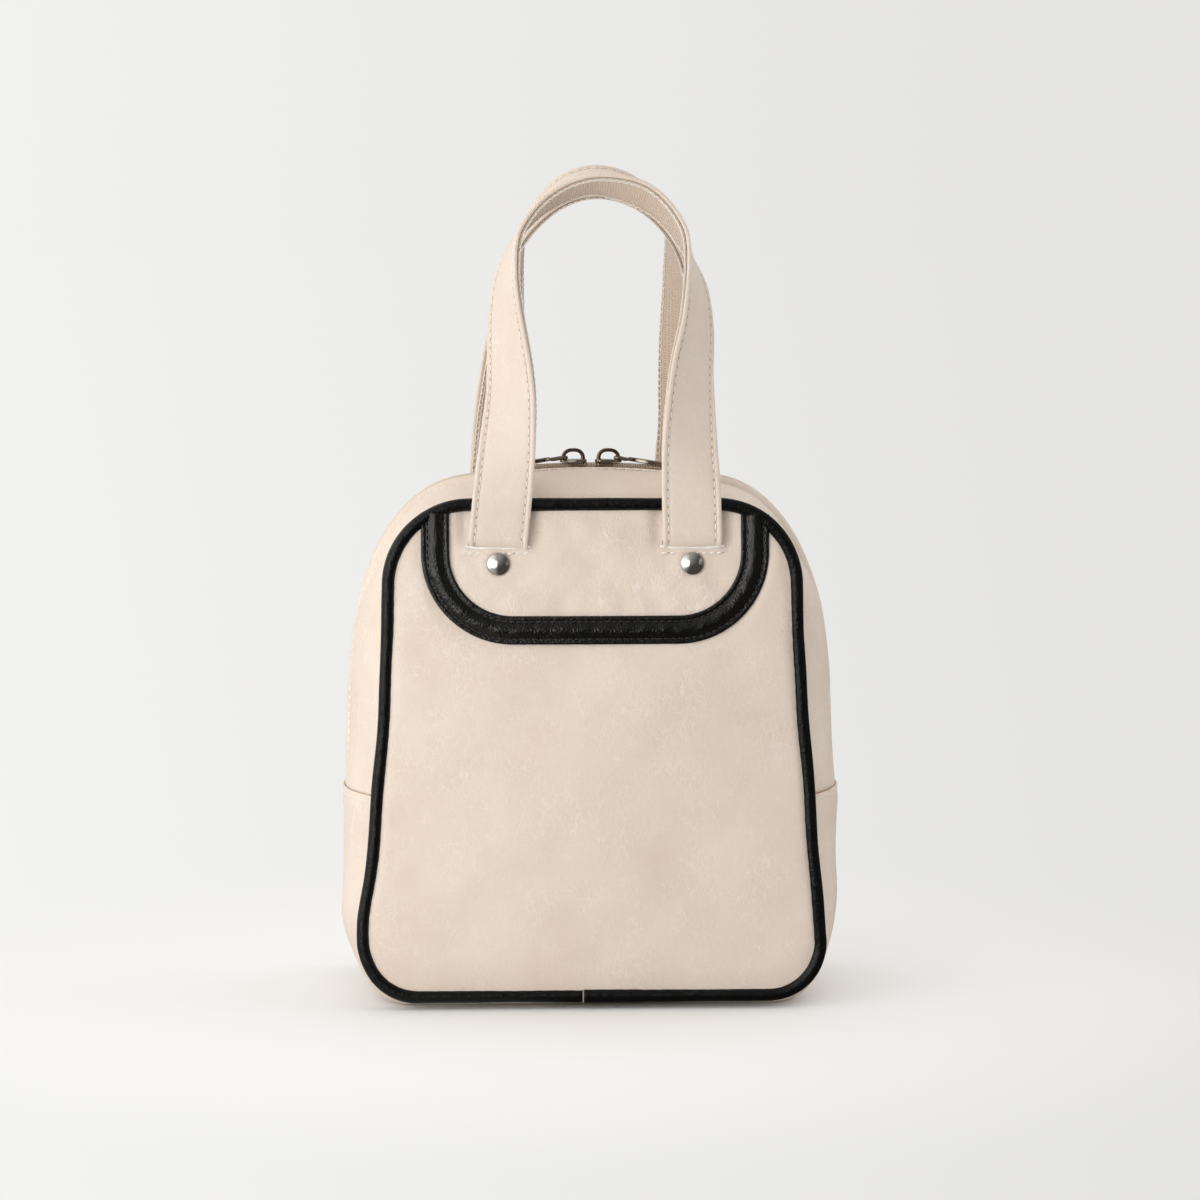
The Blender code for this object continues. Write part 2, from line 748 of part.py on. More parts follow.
def looks_out(point):
    return (point.x, 0, point.z - (PIPING_BOTTOM_Z + PIPING_TOP_Z) / 2)


def make_bottom_gusset(leather, parts):
    shares = [-s for s in reversed(GUSSET_ROW_SHARES[1:])] + list(GUSSET_ROW_SHARES)
    lines = lower_lines(GAP / 2)
    rows = [[gusset_point(line, share * gusset_half_depth(line)) for line in lines] for share in shares]
    return sheet("bottom_gusset", rows, LEATHER_THICKNESS, leather, parts, looks_out)


def make_front_zip_gusset(leather, parts):
    lines = upper_lines(GAP / 2)
    rows = [[gusset_point(line, -ZIP_OPENING_HALF_WIDTH) for line in lines]]
    for share in GUSSET_ROW_SHARES[1:]:
        rows.append([gusset_point(line, -share * gusset_half_depth(line)) for line in lines])
    return sheet("front_zip_gusset", rows, LEATHER_THICKNESS, leather, parts, looks_out)


def make_front_zip_tape(fabric, parts):
    lines = upper_lines(GAP)
    rows = []
    for i in range(TAPE_ROWS + 1):
        y = lerp(ZIP_EDGE_Y, TAPE_HALF_WIDTH, i / TAPE_ROWS)
        rows.append([gusset_point(line, -y, -TAPE_TOP) for line in lines])
    return sheet("front_zip_tape", rows, TAPE_THICKNESS, fabric, parts, looks_out)


def make_front_zip_coil(fabric, parts):
    sections = []
    for _face, ridge, normal, _weight in upper_lines(GAP):
        low = Vector(ridge) + normal * COIL_BOTTOM
        high = Vector(ridge) + normal * COIL_TOP
        near = -ZIP_EDGE_Y
        far = near - COIL_WIDTH
        sections.append([(low.x, near, low.y), (low.x, far, low.y),
                         (high.x, far, high.y), (high.x, near, high.y)])
    return swept_solid("front_zip_coil", sections, fabric, parts)


# Lining and base board

def lining_inward(line):
    """How far inside the gusset's outer side the lining lies; over the foot it clears the board."""
    return LEATHER_THICKNESS + GAP + line[3] * (BOARD_THICKNESS + GAP)


def make_front_lining(cloth, parts):
    lines = gusset_lines()
    seam = seam_index()
    count = len(lines)
    edge = []
    for i, line in enumerate(lines):
        on_tape = seam <= i <= count - seam
        y = -(TAPE_HALF_WIDTH + GAP) if on_tape else -GAP / 2
        edge.append(gusset_point(line, y, lining_inward(line)))
    rings = [edge]
    for share in GUSSET_ROW_SHARES[2:-1]:
        rings.append([gusset_point(line, -share * gusset_half_depth(line), lining_inward(line))
                      for line in lines])
    inset = offset_loop([line[0] for line in lines], -LINING_INSET)
    middle = Vector((0, (PIPING_BOTTOM_Z + PIPING_TOP_Z) / 2))
    for share in LINING_FACE_SHARES:
        flat = [middle.lerp(Vector(p), share) for p in inset]
        rings.append([face_point(p.x, p.y, -LINING_SETBACK) for p in flat])
    return sheet("front_lining", rings, LINING_THICKNESS, cloth, parts,
                 lambda p: (p.x, p.y, p.z - middle.y), closed=True)


def make_base_board(board, parts):
    low = LEATHER_THICKNESS + GAP
    half_x = GUSSET_FOOT_HALF_WIDTH - GAP
    half_y = GUSSET_FLAT_SHARE * (half_depth(PIPING_BOTTOM_Z) - PIPING_RADIUS - GAP) - GAP
    mesh = box_mesh("base_board", (-half_x, -half_y, low), (half_x, half_y, low + BOARD_THICKNESS))
    return add_object("base_board", mesh, board, parts)


# Straps: the sewn ends behind the yoke, and the handles

def make_strap_end(name, side, leather, parts, cutters):
    """The strap's end behind the yoke; its top turns out through the slot."""
    bend = STRAP_THICKNESS / 2 + 2 * GAP
    profile = [(SLOT_Z - STRAP_END_LENGTH, STRAP_DEPTH), (RIVET_Z, STRAP_DEPTH)]
    for i in range(STRAP_BEND_STEPS + 1):
        angle = math.radians(90 * i / STRAP_BEND_STEPS)
        profile.append((SLOT_Z - bend + bend * math.sin(angle), STRAP_DEPTH - bend + bend * math.cos(angle)))
    profile.append((SLOT_Z, -GAP))
    centre_x = side * HANDLE_HALF_SPAN
    columns = [centre_x + share * STRAP_HALF_WIDTH for share in (-1, 0, 1)]
    rows = [[face_point(x, z, -depth) for x in columns] for z, depth in profile]
    strap = sheet(name, rows, STRAP_THICKNESS, leather, parts, looks_front, offset=0.0)
    reach = LINING_SETBACK
    hole = cylinder_mesh("hole", RIVET_POST_RADIUS + GAP, -reach, reach)
    boolean(strap, add_cutter(name + "_hole_cutter", hole, cutters, face_matrix(centre_x, RIVET_Z)))
    return apply_modifiers(strap)


def strap_plane_y():
    """Distance of the strap's middle from the bag's middle plane where it lies over the piping."""
    over_piping = half_depth(PIPING_TOP_Z) + PIPING_RADIUS
    over_yoke = -face_point(HANDLE_HALF_SPAN - STRAP_HALF_WIDTH, HINGE_Z).y
    return max(over_piping, over_yoke) + GAP + STRAP_THICKNESS / 2


def lean_point(rise, lean):
    """Where the strap plane is after a rise from the hinge: (y, z, angle from upright)."""
    y = -strap_plane_y()
    if rise <= HANDLE_BEND_START:
        return y, HINGE_Z + rise, 0.0
    angle = min((rise - HANDLE_BEND_START) / HANDLE_BEND_RADIUS, lean)
    y += HANDLE_BEND_RADIUS * (1 - math.cos(angle))
    z = HINGE_Z + HANDLE_BEND_START + HANDLE_BEND_RADIUS * math.sin(angle)
    straight = rise - HANDLE_BEND_START - HANDLE_BEND_RADIUS * angle
    return y + straight * math.sin(angle), z + straight * math.cos(angle), angle


def handle_lean():
    """The lean that brings the two handles' tops together, found by halving a range of angles."""
    low, high = 0.0, math.radians(LEAN_LIMIT)
    for _step in range(LEAN_HALVINGS):
        lean = (low + high) / 2
        y, _z, angle = lean_point(HANDLE_RISE, lean)
        if y + STRAP_HALF_WIDTH * math.cos(angle) + HANDLE_TOP_CLEARANCE / 2 < 0:
            low = lean
        else:
            high = lean
    return low


def handle_frames():
    """Along the handle: (centre, direction out of the strap's face, direction across the strap)."""
    lean = handle_lean()
    leg = HANDLE_RISE - HANDLE_HALF_SPAN
    arc = math.pi * HANDLE_HALF_SPAN
    length = 2 * leg + arc
    frames = []
    for i in range(HANDLE_STEPS + 1):
        along = length * i / HANDLE_STEPS
        turn = min(max((along - leg) / HANDLE_HALF_SPAN, 0.0), math.pi)
        x = -HANDLE_HALF_SPAN * math.cos(turn)
        rise = min(along, length - along, leg) + HANDLE_HALF_SPAN * math.sin(turn)
        y, z, angle = lean_point(rise, lean)
        up = Vector((0, math.sin(angle), math.cos(angle)))
        front = Vector((0, -math.cos(angle), math.sin(angle)))
        out = Vector((-math.cos(turn), 0, 0)) + up * math.sin(turn)
        share = 1 - abs(2 * along / length - 1)
        wound = max(share - HANDLE_TWIST_START_SHARE, 0.0) / (1 - HANDLE_TWIST_START_SHARE)
        twist = math.radians(90) * math.sin(math.radians(90) * wound) ** HANDLE_TWIST_EASE
        face = front * math.cos(twist) + out * math.sin(twist)
        across = front * math.sin(twist) - out * math.cos(twist)
        frames.append((Vector((x, y, z)), face, across))
    return frames


def make_front_handle(leather, fabric, parts):
    frames = handle_frames()
    strap_columns = (-STRAP_HALF_WIDTH, -WEBBING_HALF_WIDTH, 0, WEBBING_HALF_WIDTH, STRAP_HALF_WIDTH)
    outer = STRAP_THICKNESS / 2
    made = []
    for name, columns, height, thickness, material, sense in (
            ("front_handle_leather", strap_columns, outer, STRAP_LEATHER, leather, 1),
            ("front_handle_webbing", strap_columns[1:-1], -outer, STRAP_WEBBING, fabric, -1)):
        rows = [[centre + face * height + across * q for q in columns] for centre, face, across in frames]

        def looks(point, sense=sense):
            _centre, face, _across = min(frames, key=lambda frame: (frame[0] - point).length)
            return face * sense

        made.append(sheet(name, rows, thickness, material, parts, looks, split=True))
    return made


# Rivets

def make_rivet(side, label, metal, parts):
    """One front rivet: the cap with its post, and the inner cap behind the strap's end."""
    post_end = -(RIVET_BACK_DEPTH - GAP)
    cap = [(0, RIVET_CAP_RIM + RIVET_CAP_DOME)]
    for i in range(1, RIVET_DOME_STEPS + 1):
        angle = math.radians(90 * i / RIVET_DOME_STEPS)
        cap.append((RIVET_CAP_RADIUS * math.sin(angle), RIVET_CAP_RIM + RIVET_CAP_DOME * math.cos(angle)))
    cap += [(RIVET_CAP_RADIUS, GAP), (RIVET_POST_RADIUS, GAP), (RIVET_POST_RADIUS, post_end), (0, post_end)]
    top = -RIVET_BACK_DEPTH
    back = [(0, top), (RIVET_BACK_RADIUS, top), (RIVET_BACK_RADIUS, top - RIVET_BACK_THICKNESS),
            (0, top - RIVET_BACK_THICKNESS)]
    matrix = face_matrix(side * HANDLE_HALF_SPAN, RIVET_Z)
    return [turned_mesh("front_%s_rivet_cap" % label, cap, metal, parts, matrix),
            turned_mesh("front_%s_rivet_back" % label, back, metal, parts, matrix)]


# Sliders and pulls

def slider_matrix(side):
    """Slider frame: local X along the zip away from the middle, local Z out of the bag, on the arch."""
    angle = side * math.asin(SLIDER_REST_X / ZIP_ARCH_RADIUS)
    turn = Matrix.Rotation(angle, 4, 'Y')
    place = Matrix.Translation((0, 0, ARCH_CENTRE_Z)) @ turn @ Matrix.Translation((0, 0, ZIP_ARCH_RADIUS))
    flip = Matrix.Rotation(math.pi, 4, 'Z') if side < 0 else Matrix.Identity(4)
    return place @ flip


def make_slider(name, matrix, metal, parts, cutters):
    half = SLIDER_LENGTH / 2
    wide = SLIDER_HALF_WIDTH
    plate_low = SLIDER_DECK - SLIDER_PLATE
    foot_top = TAPE_BOTTOM - GAP
    foot_low = foot_top - SLIDER_FOOT_PLATE
    deck = box_mesh(name, (-half, -wide, plate_low), (half, wide, SLIDER_DECK))
    body = add_object(name, deck, metal, parts, matrix)
    web = SLIDER_WEB_HALF_WIDTH
    reach = SLIDER_WEB_LENGTH
    lap = SLIDER_PLATE / 2
    flange_low = TAPE_TOP + GAP
    pieces = [
        ("foot", (-half, -wide, foot_low), (half, wide, foot_top)),
        ("web", (-half, -web, foot_top - lap), (-half + reach, web, plate_low + lap)),
        ("front_flange", (-half, -wide, flange_low), (half, SLIDER_FLANGE - wide, plate_low + lap)),
        ("back_flange", (-half, wide - SLIDER_FLANGE, flange_low), (half, wide, plate_low + lap))]
    for label, low, high in pieces:
        cutter = add_cutter("%s_%s" % (name, label), box_mesh(label, low, high), cutters, matrix)
        boolean(body, cutter, 'UNION')
    return apply_modifiers(body)


def make_crown(name, matrix, metal, parts, cutters):
    low = SLIDER_DECK + GAP
    half = CROWN_LENGTH / 2
    inner = half - CROWN_BAR
    arch = add_object(name, box_mesh(name, (-half, -CROWN_HALF_WIDTH, low),
                                     (half, CROWN_HALF_WIDTH, low + CROWN_HEIGHT)), metal, parts, matrix)
    opening = box_mesh("opening", (-inner, -2 * CROWN_HALF_WIDTH, low - CROWN_BAR),
                       (inner, 2 * CROWN_HALF_WIDTH, low + CROWN_HEIGHT - CROWN_BAR))
    bevel_top(arch, low + CROWN_HEIGHT, CROWN_BAR)
    boolean(arch, add_cutter(name + "_opening_cutter", opening, cutters, matrix))
    return apply_modifiers(arch)


def bevel_top(obj, height, width):
    """Round the two edges across the top of a box."""
    bm = bmesh.new()
    bm.from_mesh(obj.data)
    edges = [e for e in bm.edges if all(abs(v.co.z - height) < MERGE_DISTANCE for v in e.verts)
             and abs(e.verts[0].co.x - e.verts[1].co.x) < MERGE_DISTANCE]
    bmesh.ops.bevel(bm, geom=edges, offset=width, segments=CROWN_CORNER_STEPS, profile=0.5,
                     affect='EDGES')
    bm.to_mesh(obj.data)
    bm.free()


def make_link(name, matrix, metal, parts):
    """A closed ring of wire; its inner bar lies in the crown and its outer bar in the tab's knuckle."""
    half_width = CROWN_HALF_WIDTH + GAP + LINK_BAR_RADIUS
    radius = LINK_CORNER_RADIUS
    near = LINK_X + radius
    far = LINK_X + LINK_LENGTH - radius
    side = half_width - radius
    outline = chain(
        arc_points((near, side), radius, 180, 90, LINK_CORNER_STEPS),
        arc_points((far, side), radius, 90, 0, LINK_CORNER_STEPS),
        arc_points((far, -side), radius, 0, -90, LINK_CORNER_STEPS),
        arc_points((near, -side), radius, -90, -180, LINK_CORNER_STEPS))
    points = []
    for x, y in outline:
        if not points or (Vector((x, y)) - Vector(points[-1][:2])).length > GAP:
            points.append((x, y, LINK_HEIGHT))
    link = tube_curve(name, points, LINK_BAR_RADIUS, metal, parts, cyclic=True, caps=False)
    link.matrix_world = matrix
    return link


def link_pin():
    """The link's bar in the crown, in the slider frame."""
    return Vector((LINK_X, 0, LINK_HEIGHT))


def tab_pin():
    """The tab's pin in the slider frame."""
    return Vector((LINK_X + LINK_LENGTH, 0, LINK_HEIGHT))


def tab_matrix():
    """The tab droops from its pin until its end rests on the coils."""
    pin = tab_pin()
    end_x = pin.x + TAB_LENGTH
    arch_drop = ZIP_ARCH_RADIUS - math.sqrt(ZIP_ARCH_RADIUS ** 2 - end_x ** 2)
    end_z = COIL_TOP + GAP + TAB_THICKNESS / 2 - arch_drop
    droop = math.atan2(pin.z - end_z, TAB_LENGTH)
    return Matrix.Translation(pin) @ Matrix.Rotation(droop, 4, 'Y')


def make_tab(name, matrix, metal, parts, cutters):
    """A flat tab whose knuckle turns on the link's outer bar."""
    place = matrix @ tab_matrix()
    thick = TAB_THICKNESS / 2
    start = LINK_BAR_RADIUS + 2 * GAP
    plate = box_mesh(name, (start, -TAB_HALF_WIDTH, -thick), (TAB_LENGTH, TAB_HALF_WIDTH, thick))
    tab = add_object(name, plate, metal, parts, place)
    bevel(tab, TAB_EDGE)
    knuckle = cylinder_mesh("knuckle", KNUCKLE_RADIUS, -KNUCKLE_HALF_WIDTH, KNUCKLE_HALF_WIDTH, 'Y')
    boolean(tab, add_cutter(name + "_knuckle", knuckle, cutters, place), 'UNION')
    bore = cylinder_mesh("bore", LINK_BAR_RADIUS + GAP, -2 * KNUCKLE_HALF_WIDTH, 2 * KNUCKLE_HALF_WIDTH, 'Y')
    boolean(tab, add_cutter(name + "_bore_cutter", bore, cutters, place))
    return apply_modifiers(tab)


# Joint axes

def make_axis(name, collection, location, parent=None):
    """An empty on a joint's axis; the pieces that move with the joint are its children."""
    empty = bpy.data.objects.new(name, None)
    collection.objects.link(empty)
    empty.location = location
    bpy.context.view_layer.update()
    if parent is not None:
        attach(empty, parent)
    return empty


def attach(obj, parent):
    obj.parent = parent
    obj.matrix_parent_inverse = parent.matrix_world.inverted()
    bpy.context.view_layer.update()


def main():
    clear_scene()
    parts = make_collection("bowler_bag")
    cutters = make_collection("bowler_bag_cutters")
    leather = make_material("beige_leather", (0.72, 0.62, 0.52), 0.55)
    black = make_material("black_leather", (0.02, 0.02, 0.022), 0.45)
    webbing = make_material("webbing", (0.66, 0.55, 0.44), 0.85)
    tape = make_material("zip_tape", (0.72, 0.62, 0.50), 0.80)
    lining = make_material("lining", (0.60, 0.52, 0.44), 0.85)
    board = make_material("board", (0.35, 0.33, 0.31), 0.90)
    cord = make_material("piping_cord", (0.80, 0.78, 0.74), 0.90)
    nickel = make_material("nickel", (0.62, 0.60, 0.57), 0.25, 1.0)

    front_pieces = [
        (make_front_panel(leather, parts), leather),
        (make_front_yoke(leather, parts, cutters), leather),
        (make_front_band(black, parts), black),
        (make_front_band_filler(cord, parts), cord),
        (make_front_zip_gusset(leather, parts), leather),
        (make_front_zip_tape(tape, parts), tape),
        (make_front_zip_coil(tape, parts), tape),
        (make_front_lining(lining, parts), lining),
        (make_strap_end("front_left_strap_end", -1, leather, parts, cutters), leather),
        (make_strap_end("front_right_strap_end", 1, leather, parts, cutters), leather)]
    cover, core = make_front_piping(black, cord, parts)
    front_pieces += [(cover, black), (core, cord)]
    for side, label in ((-1, "left"), (1, "right")):
        front_pieces += [(piece, nickel) for piece in make_rivet(side, label, nickel, parts)]
    bpy.context.view_layer.update()
    for piece, material in front_pieces:
        turned_back(piece, back_name(piece.name), parts, material)

    make_bottom_gusset(leather, parts)
    make_base_board(board, parts)

    handle = make_front_handle(leather, webbing, parts)
    bpy.context.view_layer.update()
    back_handle = [turned_back(piece, piece.name.replace("front", "back"), parts, piece.data.materials[0])
                   for piece in handle]
    hinge = Vector((0, -strap_plane_y(), HINGE_Z))
    for name, pieces, sense in (("front", handle, 1), ("back", back_handle, -1)):
        axis = make_axis(name + "_handle_axis", parts, (0, sense * hinge.y, hinge.z))
        for piece in pieces:
            attach(piece, axis)

    for side, name in ((-1, "left"), (1, "right")):
        matrix = slider_matrix(side)
        slider = make_slider(name + "_slider", matrix, nickel, parts, cutters)
        crown = make_crown(name + "_crown", matrix, nickel, parts, cutters)
        link = make_link(name + "_pull_link", matrix, nickel, parts)
        tab = make_tab(name + "_pull_tab", matrix, nickel, parts, cutters)
        arch_axis = make_axis(name + "_arch_axis", parts, (0, 0, ARCH_CENTRE_Z))
        link_axis = make_axis(name + "_link_axis", parts, matrix @ link_pin(), arch_axis)
        tab_axis = make_axis(name + "_tab_axis", parts, matrix @ tab_pin(), link_axis)
        attach(slider, arch_axis)
        attach(crown, arch_axis)
        attach(link, link_axis)
        attach(tab, tab_axis)


main()
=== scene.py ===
"""The looks of the bowler bag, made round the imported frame.

Metres, +Z up, the front faces -Y. The shapes are those of the part's source at a finer step, with the
folds, seams, stitches and surface detail of the real bag. The front pieces are made first, and each
has a twin at the back, turned half a turn about Z.
"""
import math

import bmesh
import bpy
import numpy as np
from mathutils import Matrix, Vector


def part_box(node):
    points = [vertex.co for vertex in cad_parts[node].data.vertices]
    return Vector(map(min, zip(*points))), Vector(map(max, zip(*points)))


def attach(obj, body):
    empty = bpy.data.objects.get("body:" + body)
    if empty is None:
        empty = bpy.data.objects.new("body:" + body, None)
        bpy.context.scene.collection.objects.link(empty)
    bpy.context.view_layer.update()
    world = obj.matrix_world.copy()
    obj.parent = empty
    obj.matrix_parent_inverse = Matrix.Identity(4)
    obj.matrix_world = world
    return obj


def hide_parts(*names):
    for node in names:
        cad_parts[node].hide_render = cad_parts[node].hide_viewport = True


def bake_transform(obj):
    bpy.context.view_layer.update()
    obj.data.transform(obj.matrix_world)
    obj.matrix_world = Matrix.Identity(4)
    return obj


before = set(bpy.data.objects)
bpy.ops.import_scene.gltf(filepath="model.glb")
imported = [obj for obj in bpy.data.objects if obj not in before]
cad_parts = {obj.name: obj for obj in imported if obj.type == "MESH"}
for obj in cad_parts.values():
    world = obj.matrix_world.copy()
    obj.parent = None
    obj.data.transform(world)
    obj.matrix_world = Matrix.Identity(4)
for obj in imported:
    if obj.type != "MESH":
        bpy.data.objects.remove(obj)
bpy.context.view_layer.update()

# Sizes that the solids also have
GAP = 0.0003
PIPING_BOTTOM_Z, PIPING_TOP_Z = 0.0060, 0.2505
FACE_LOW_HALF_WIDTH, FACE_HIGH_HALF_WIDTH = 0.1133, 0.1012
FACE_LOW_RADIUS, FACE_HIGH_RADIUS = 0.0260, 0.0400
FACE_WAIST, FACE_CROWN = 0.0016, 0.0080
FACE_LOW_DEPTH, FACE_HIGH_DEPTH = 0.1200, 0.0970
GUSSET_LOW_BULGE, GUSSET_HIGH_BULGE, GUSSET_TOP_BULGE = 0.0127, 0.0180, 0.0165
GUSSET_LOW_Z, GUSSET_HIGH_Z, GUSSET_SEAM_Z = 0.0600, 0.1500, 0.1050
GUSSET_FOOT_HALF_WIDTH = 0.0950
GUSSET_FLAT_SHARE, GUSSET_ROUND = 0.80, 2.4
LOW_CORNER_SHARES, HIGH_CORNER_SHARES = (0.65, 0.55), (0.46, 0.72)
ZIP_ARCH_RADIUS, ZIP_ARCH_HALF_SPAN = 0.3750, 0.0660
ZIP_OPENING = 0.0065
LEATHER = 0.0016
PIPING_RADIUS = 0.0030
BAND_HALF_SPAN, BAND_BOTTOM_Z, BAND_CORNER_RADIUS = 0.0792, 0.1890, 0.0380
# The straps and the band sit slightly off the middle
STRAP_SHIFT = 0.0012
BAND_ENDS = (STRAP_SHIFT - BAND_HALF_SPAN, STRAP_SHIFT + BAND_HALF_SPAN)
STRAP_HALF_WIDTH, STRAP_THICKNESS, HANDLE_HALF_SPAN = 0.0150, 0.0031, 0.0480
SLOT_Z, RIVET_Z, HINGE_Z = 0.2310, 0.2215, 0.2345
STRAP_PLANE_Y = 0.0536
STRAP_DEPTH = 0.00345
RIVET_CAP_RADIUS = 0.0058
TAPE_TOP = -0.0019
COIL_HIGH = 0.0002
SLIDER_REST_X, SLIDER_LENGTH, SLIDER_HALF_WIDTH = 0.0080, 0.0135, 0.0046
DECK_LOW, DECK_HIGH = 0.0005, 0.0017
FOOT_HIGH, FOOT_LOW = -0.0027, -0.0037
CROWN_LENGTH, CROWN_HEIGHT, CROWN_HALF_WIDTH, CROWN_BAR = 0.0114, 0.0048, 0.0011, 0.0014
LINK_X, LINK_LENGTH, LINK_HEIGHT, LINK_RADIUS = 0.0033, 0.0098, 0.0027, 0.0007
LINK_CORNER_RADIUS = 0.0013
KNUCKLE_MIDDLE, KNUCKLE_REACH, KNUCKLE_RISE, KNUCKLE_HALF_WIDTH = 0.0008, 0.0023, 0.0010, 0.0011
TAB_LENGTH, TAB_HALF_WIDTH, TAB_THICKNESS = 0.0240, 0.0034, 0.0014
ARCH_TOP_Z = PIPING_TOP_Z + GUSSET_TOP_BULGE
ARCH_CENTRE_Z = ARCH_TOP_Z - ZIP_ARCH_RADIUS

# Points along each stretch of the half outline: foot, low corner, low side, high side, high corner, top
STEPS = (24, 18, 16, 26, 26, 26)

WORD = {-1: "left", 1: "right"}
UP, FORWARD = (0.0, 0.0, 1.0), (0.0, -1.0, 0.0)
BAG_MIDDLE = np.array([0, 0, 0.13])

# Stitches, and the dark tubes that paint the shade in needle holes: from one to the next, and the length and
# radius of each
STITCH_LINE, STITCH_PITCH = 0.01160, 0.0042
STRAP_STITCH = (STITCH_PITCH, 0.0031, 0.00034)
BAND_STITCH = (0.0034, 0.0024, 0.00036)
YOKE_STITCH, YOKE_HOLE = (0.0039, 0.0027, 0.00048), (0.0039, 0.0016, 0.00036)
ZIP_STITCH, ZIP_HOLE = (0.0043, 0.0029, 0.00044), (0.0043, 0.0017, 0.00030)
BOTTOM_STITCH = (0.0040, 0.0030, 0.00028)
CHAIN_PITCH = 0.0032

half_turn = Matrix.Rotation(math.pi, 4, 'Z')


# Mesh building

def add_object(name, data):
    obj = bpy.data.objects.new(name, data)
    bpy.context.scene.collection.objects.link(obj)
    return obj


def mesh_of(bm, name):
    """A mesh from a bmesh, which is freed."""
    mesh = bpy.data.meshes.new(name)
    bm.to_mesh(mesh)
    bm.free()
    return mesh


def mesh_object(name, verts, faces, material, weld=True):
    mesh = bpy.data.meshes.new(name)
    mesh.from_pydata([tuple(map(float, v)) for v in verts], [], faces)
    mesh.materials.append(material)
    bm = bmesh.new()
    bm.from_mesh(mesh)
    if weld:
        bmesh.ops.remove_doubles(bm, verts=bm.verts, dist=0.000004)
    bmesh.ops.recalc_face_normals(bm, faces=bm.faces)
    bm.to_mesh(mesh)
    bm.free()
    mesh.shade_smooth()
    return add_object(name, mesh)


def circle(steps):
    return np.linspace(0, 2 * math.pi, steps, endpoint=False)


def ring_faces(rings, count, closed_ends=True, first=0):
    """Faces between rings of count vertices that follow each other, from the vertex first on."""
    last = first + (rings - 1) * count
    faces = [(r + i, r + (i + 1) % count, r + count + (i + 1) % count, r + count + i)
             for r in range(first, last, count) for i in range(count)]
    if closed_ends:
        faces += [tuple(range(r, r + count)) for r in (first, last)]
    return faces


def sweep(name, rings, material, closed_ends=True):
    """A solid through closed cross-sections with as many points each."""
    rings = np.asarray(rings, float)
    faces = ring_faces(len(rings), rings.shape[1], closed_ends)
    return mesh_object(name, rings.reshape(-1, 3), faces, material)


def unit(v):
    length = np.linalg.norm(v, axis=-1, keepdims=True)
    return v / np.where(length < 1e-12, 1.0, length)


def tangents(points, closed=False):
    points = np.asarray(points, float)
    if closed:
        return unit(np.roll(points, -1, 0) - np.roll(points, 1, 0))
    return unit(np.gradient(points, axis=0))


def tube_rings(points, normals, radius, sides, closed=False):
    """Rings of a round tube; normals are any directions roughly square to the path."""
    points, normals = np.asarray(points, float), np.asarray(normals, float)
    t = tangents(points, closed)
    n = unit(normals - t * np.sum(normals * t, -1, keepdims=True))
    b = np.cross(t, n)
    angle = circle(sides)[None, :, None]
    radius = np.broadcast_to(radius, len(points))[:, None, None]
    return points[:, None] + radius * (np.cos(angle) * n[:, None] + np.sin(angle) * b[:, None])


def grid_normals(p):
    return unit(np.cross(np.gradient(p, axis=1), np.gradient(p, axis=0)))


def shell(name, p, thickness, material, outward):
    """A closed sheet with rounded edges from a grid of points on its outer side.

    outward is a direction, or a grid of directions, on the side that the sheet's face looks to.
    """
    rows, cols = p.shape[:2]
    total = rows * cols
    n = grid_normals(p)
    if np.mean(np.sum(n * outward, -1)) < 0:
        n = -n
    verts = [p.reshape(-1, 3), (p - n * thickness).reshape(-1, 3)]
    faces = []
    for r in range(rows - 1):
        for a in range(r * cols, r * cols + cols - 1):
            b, c, d = a + 1, a + cols + 1, a + cols
            faces += [(a, b, c, d), (total + d, total + c, total + b, total + a)]
    loop = (list(range(cols)) + [r * cols + cols - 1 for r in range(1, rows)]
            + [(rows - 1) * cols + c for c in range(cols - 2, -1, -1)]
            + [r * cols for r in range(rows - 2, 0, -1)])
    edge, face = verts[0][loop], n.reshape(-1, 3)[loop]
    away = unit(np.cross(tangents(edge, closed=True), face))
    if np.mean(np.sum(away * (edge - verts[0].mean(0)), -1)) < 0:
        away = -away
    half, count = thickness / 2, len(loop)
    strips = [loop]
    for k, angle in enumerate((45, 90, 135)):
        a = math.radians(angle)
        verts.append(edge - face * half * (1 - math.cos(a)) + away * half * math.sin(a))
        strips.append(list(range(2 * total + k * count, 2 * total + (k + 1) * count)))
    strips.append([total + i for i in loop])
    for first, second in zip(strips, strips[1:]):
        faces += [(first[i - 1], first[i], second[i], second[i - 1]) for i in [*range(1, count), 0]]
    return mesh_object(name, np.concatenate(verts), faces, material)


def runs(points):
    """Distance along a path at each of its points."""
    return np.concatenate([[0], np.cumsum(np.linalg.norm(np.diff(points, axis=0), axis=1))])


def at_run(where, run, values):
    """A path's values at given distances along it."""
    return np.stack([np.interp(where, run, values[:, k]) for k in range(values.shape[1])], -1)


def resample(points, count, closed=False):
    """The same path in even steps."""
    points = np.asarray(points, float)
    if closed:
        points = np.concatenate([points, points[:1]])
    run = runs(points)
    target = np.linspace(0, run[-1], count + 1)[:-1] if closed else np.linspace(0, run[-1], count)
    return at_run(target, run, points)


def path_length(points):
    return float(np.linalg.norm(np.diff(np.asarray(points, float), axis=0), axis=1).sum())


def smooth_step(low, high, value):
    t = np.clip((value - low) / (high - low), 0, 1)
    return t * t * (3 - 2 * t)


def bell(value, middle, width):
    return np.exp(-((value - middle) / width) ** 2)


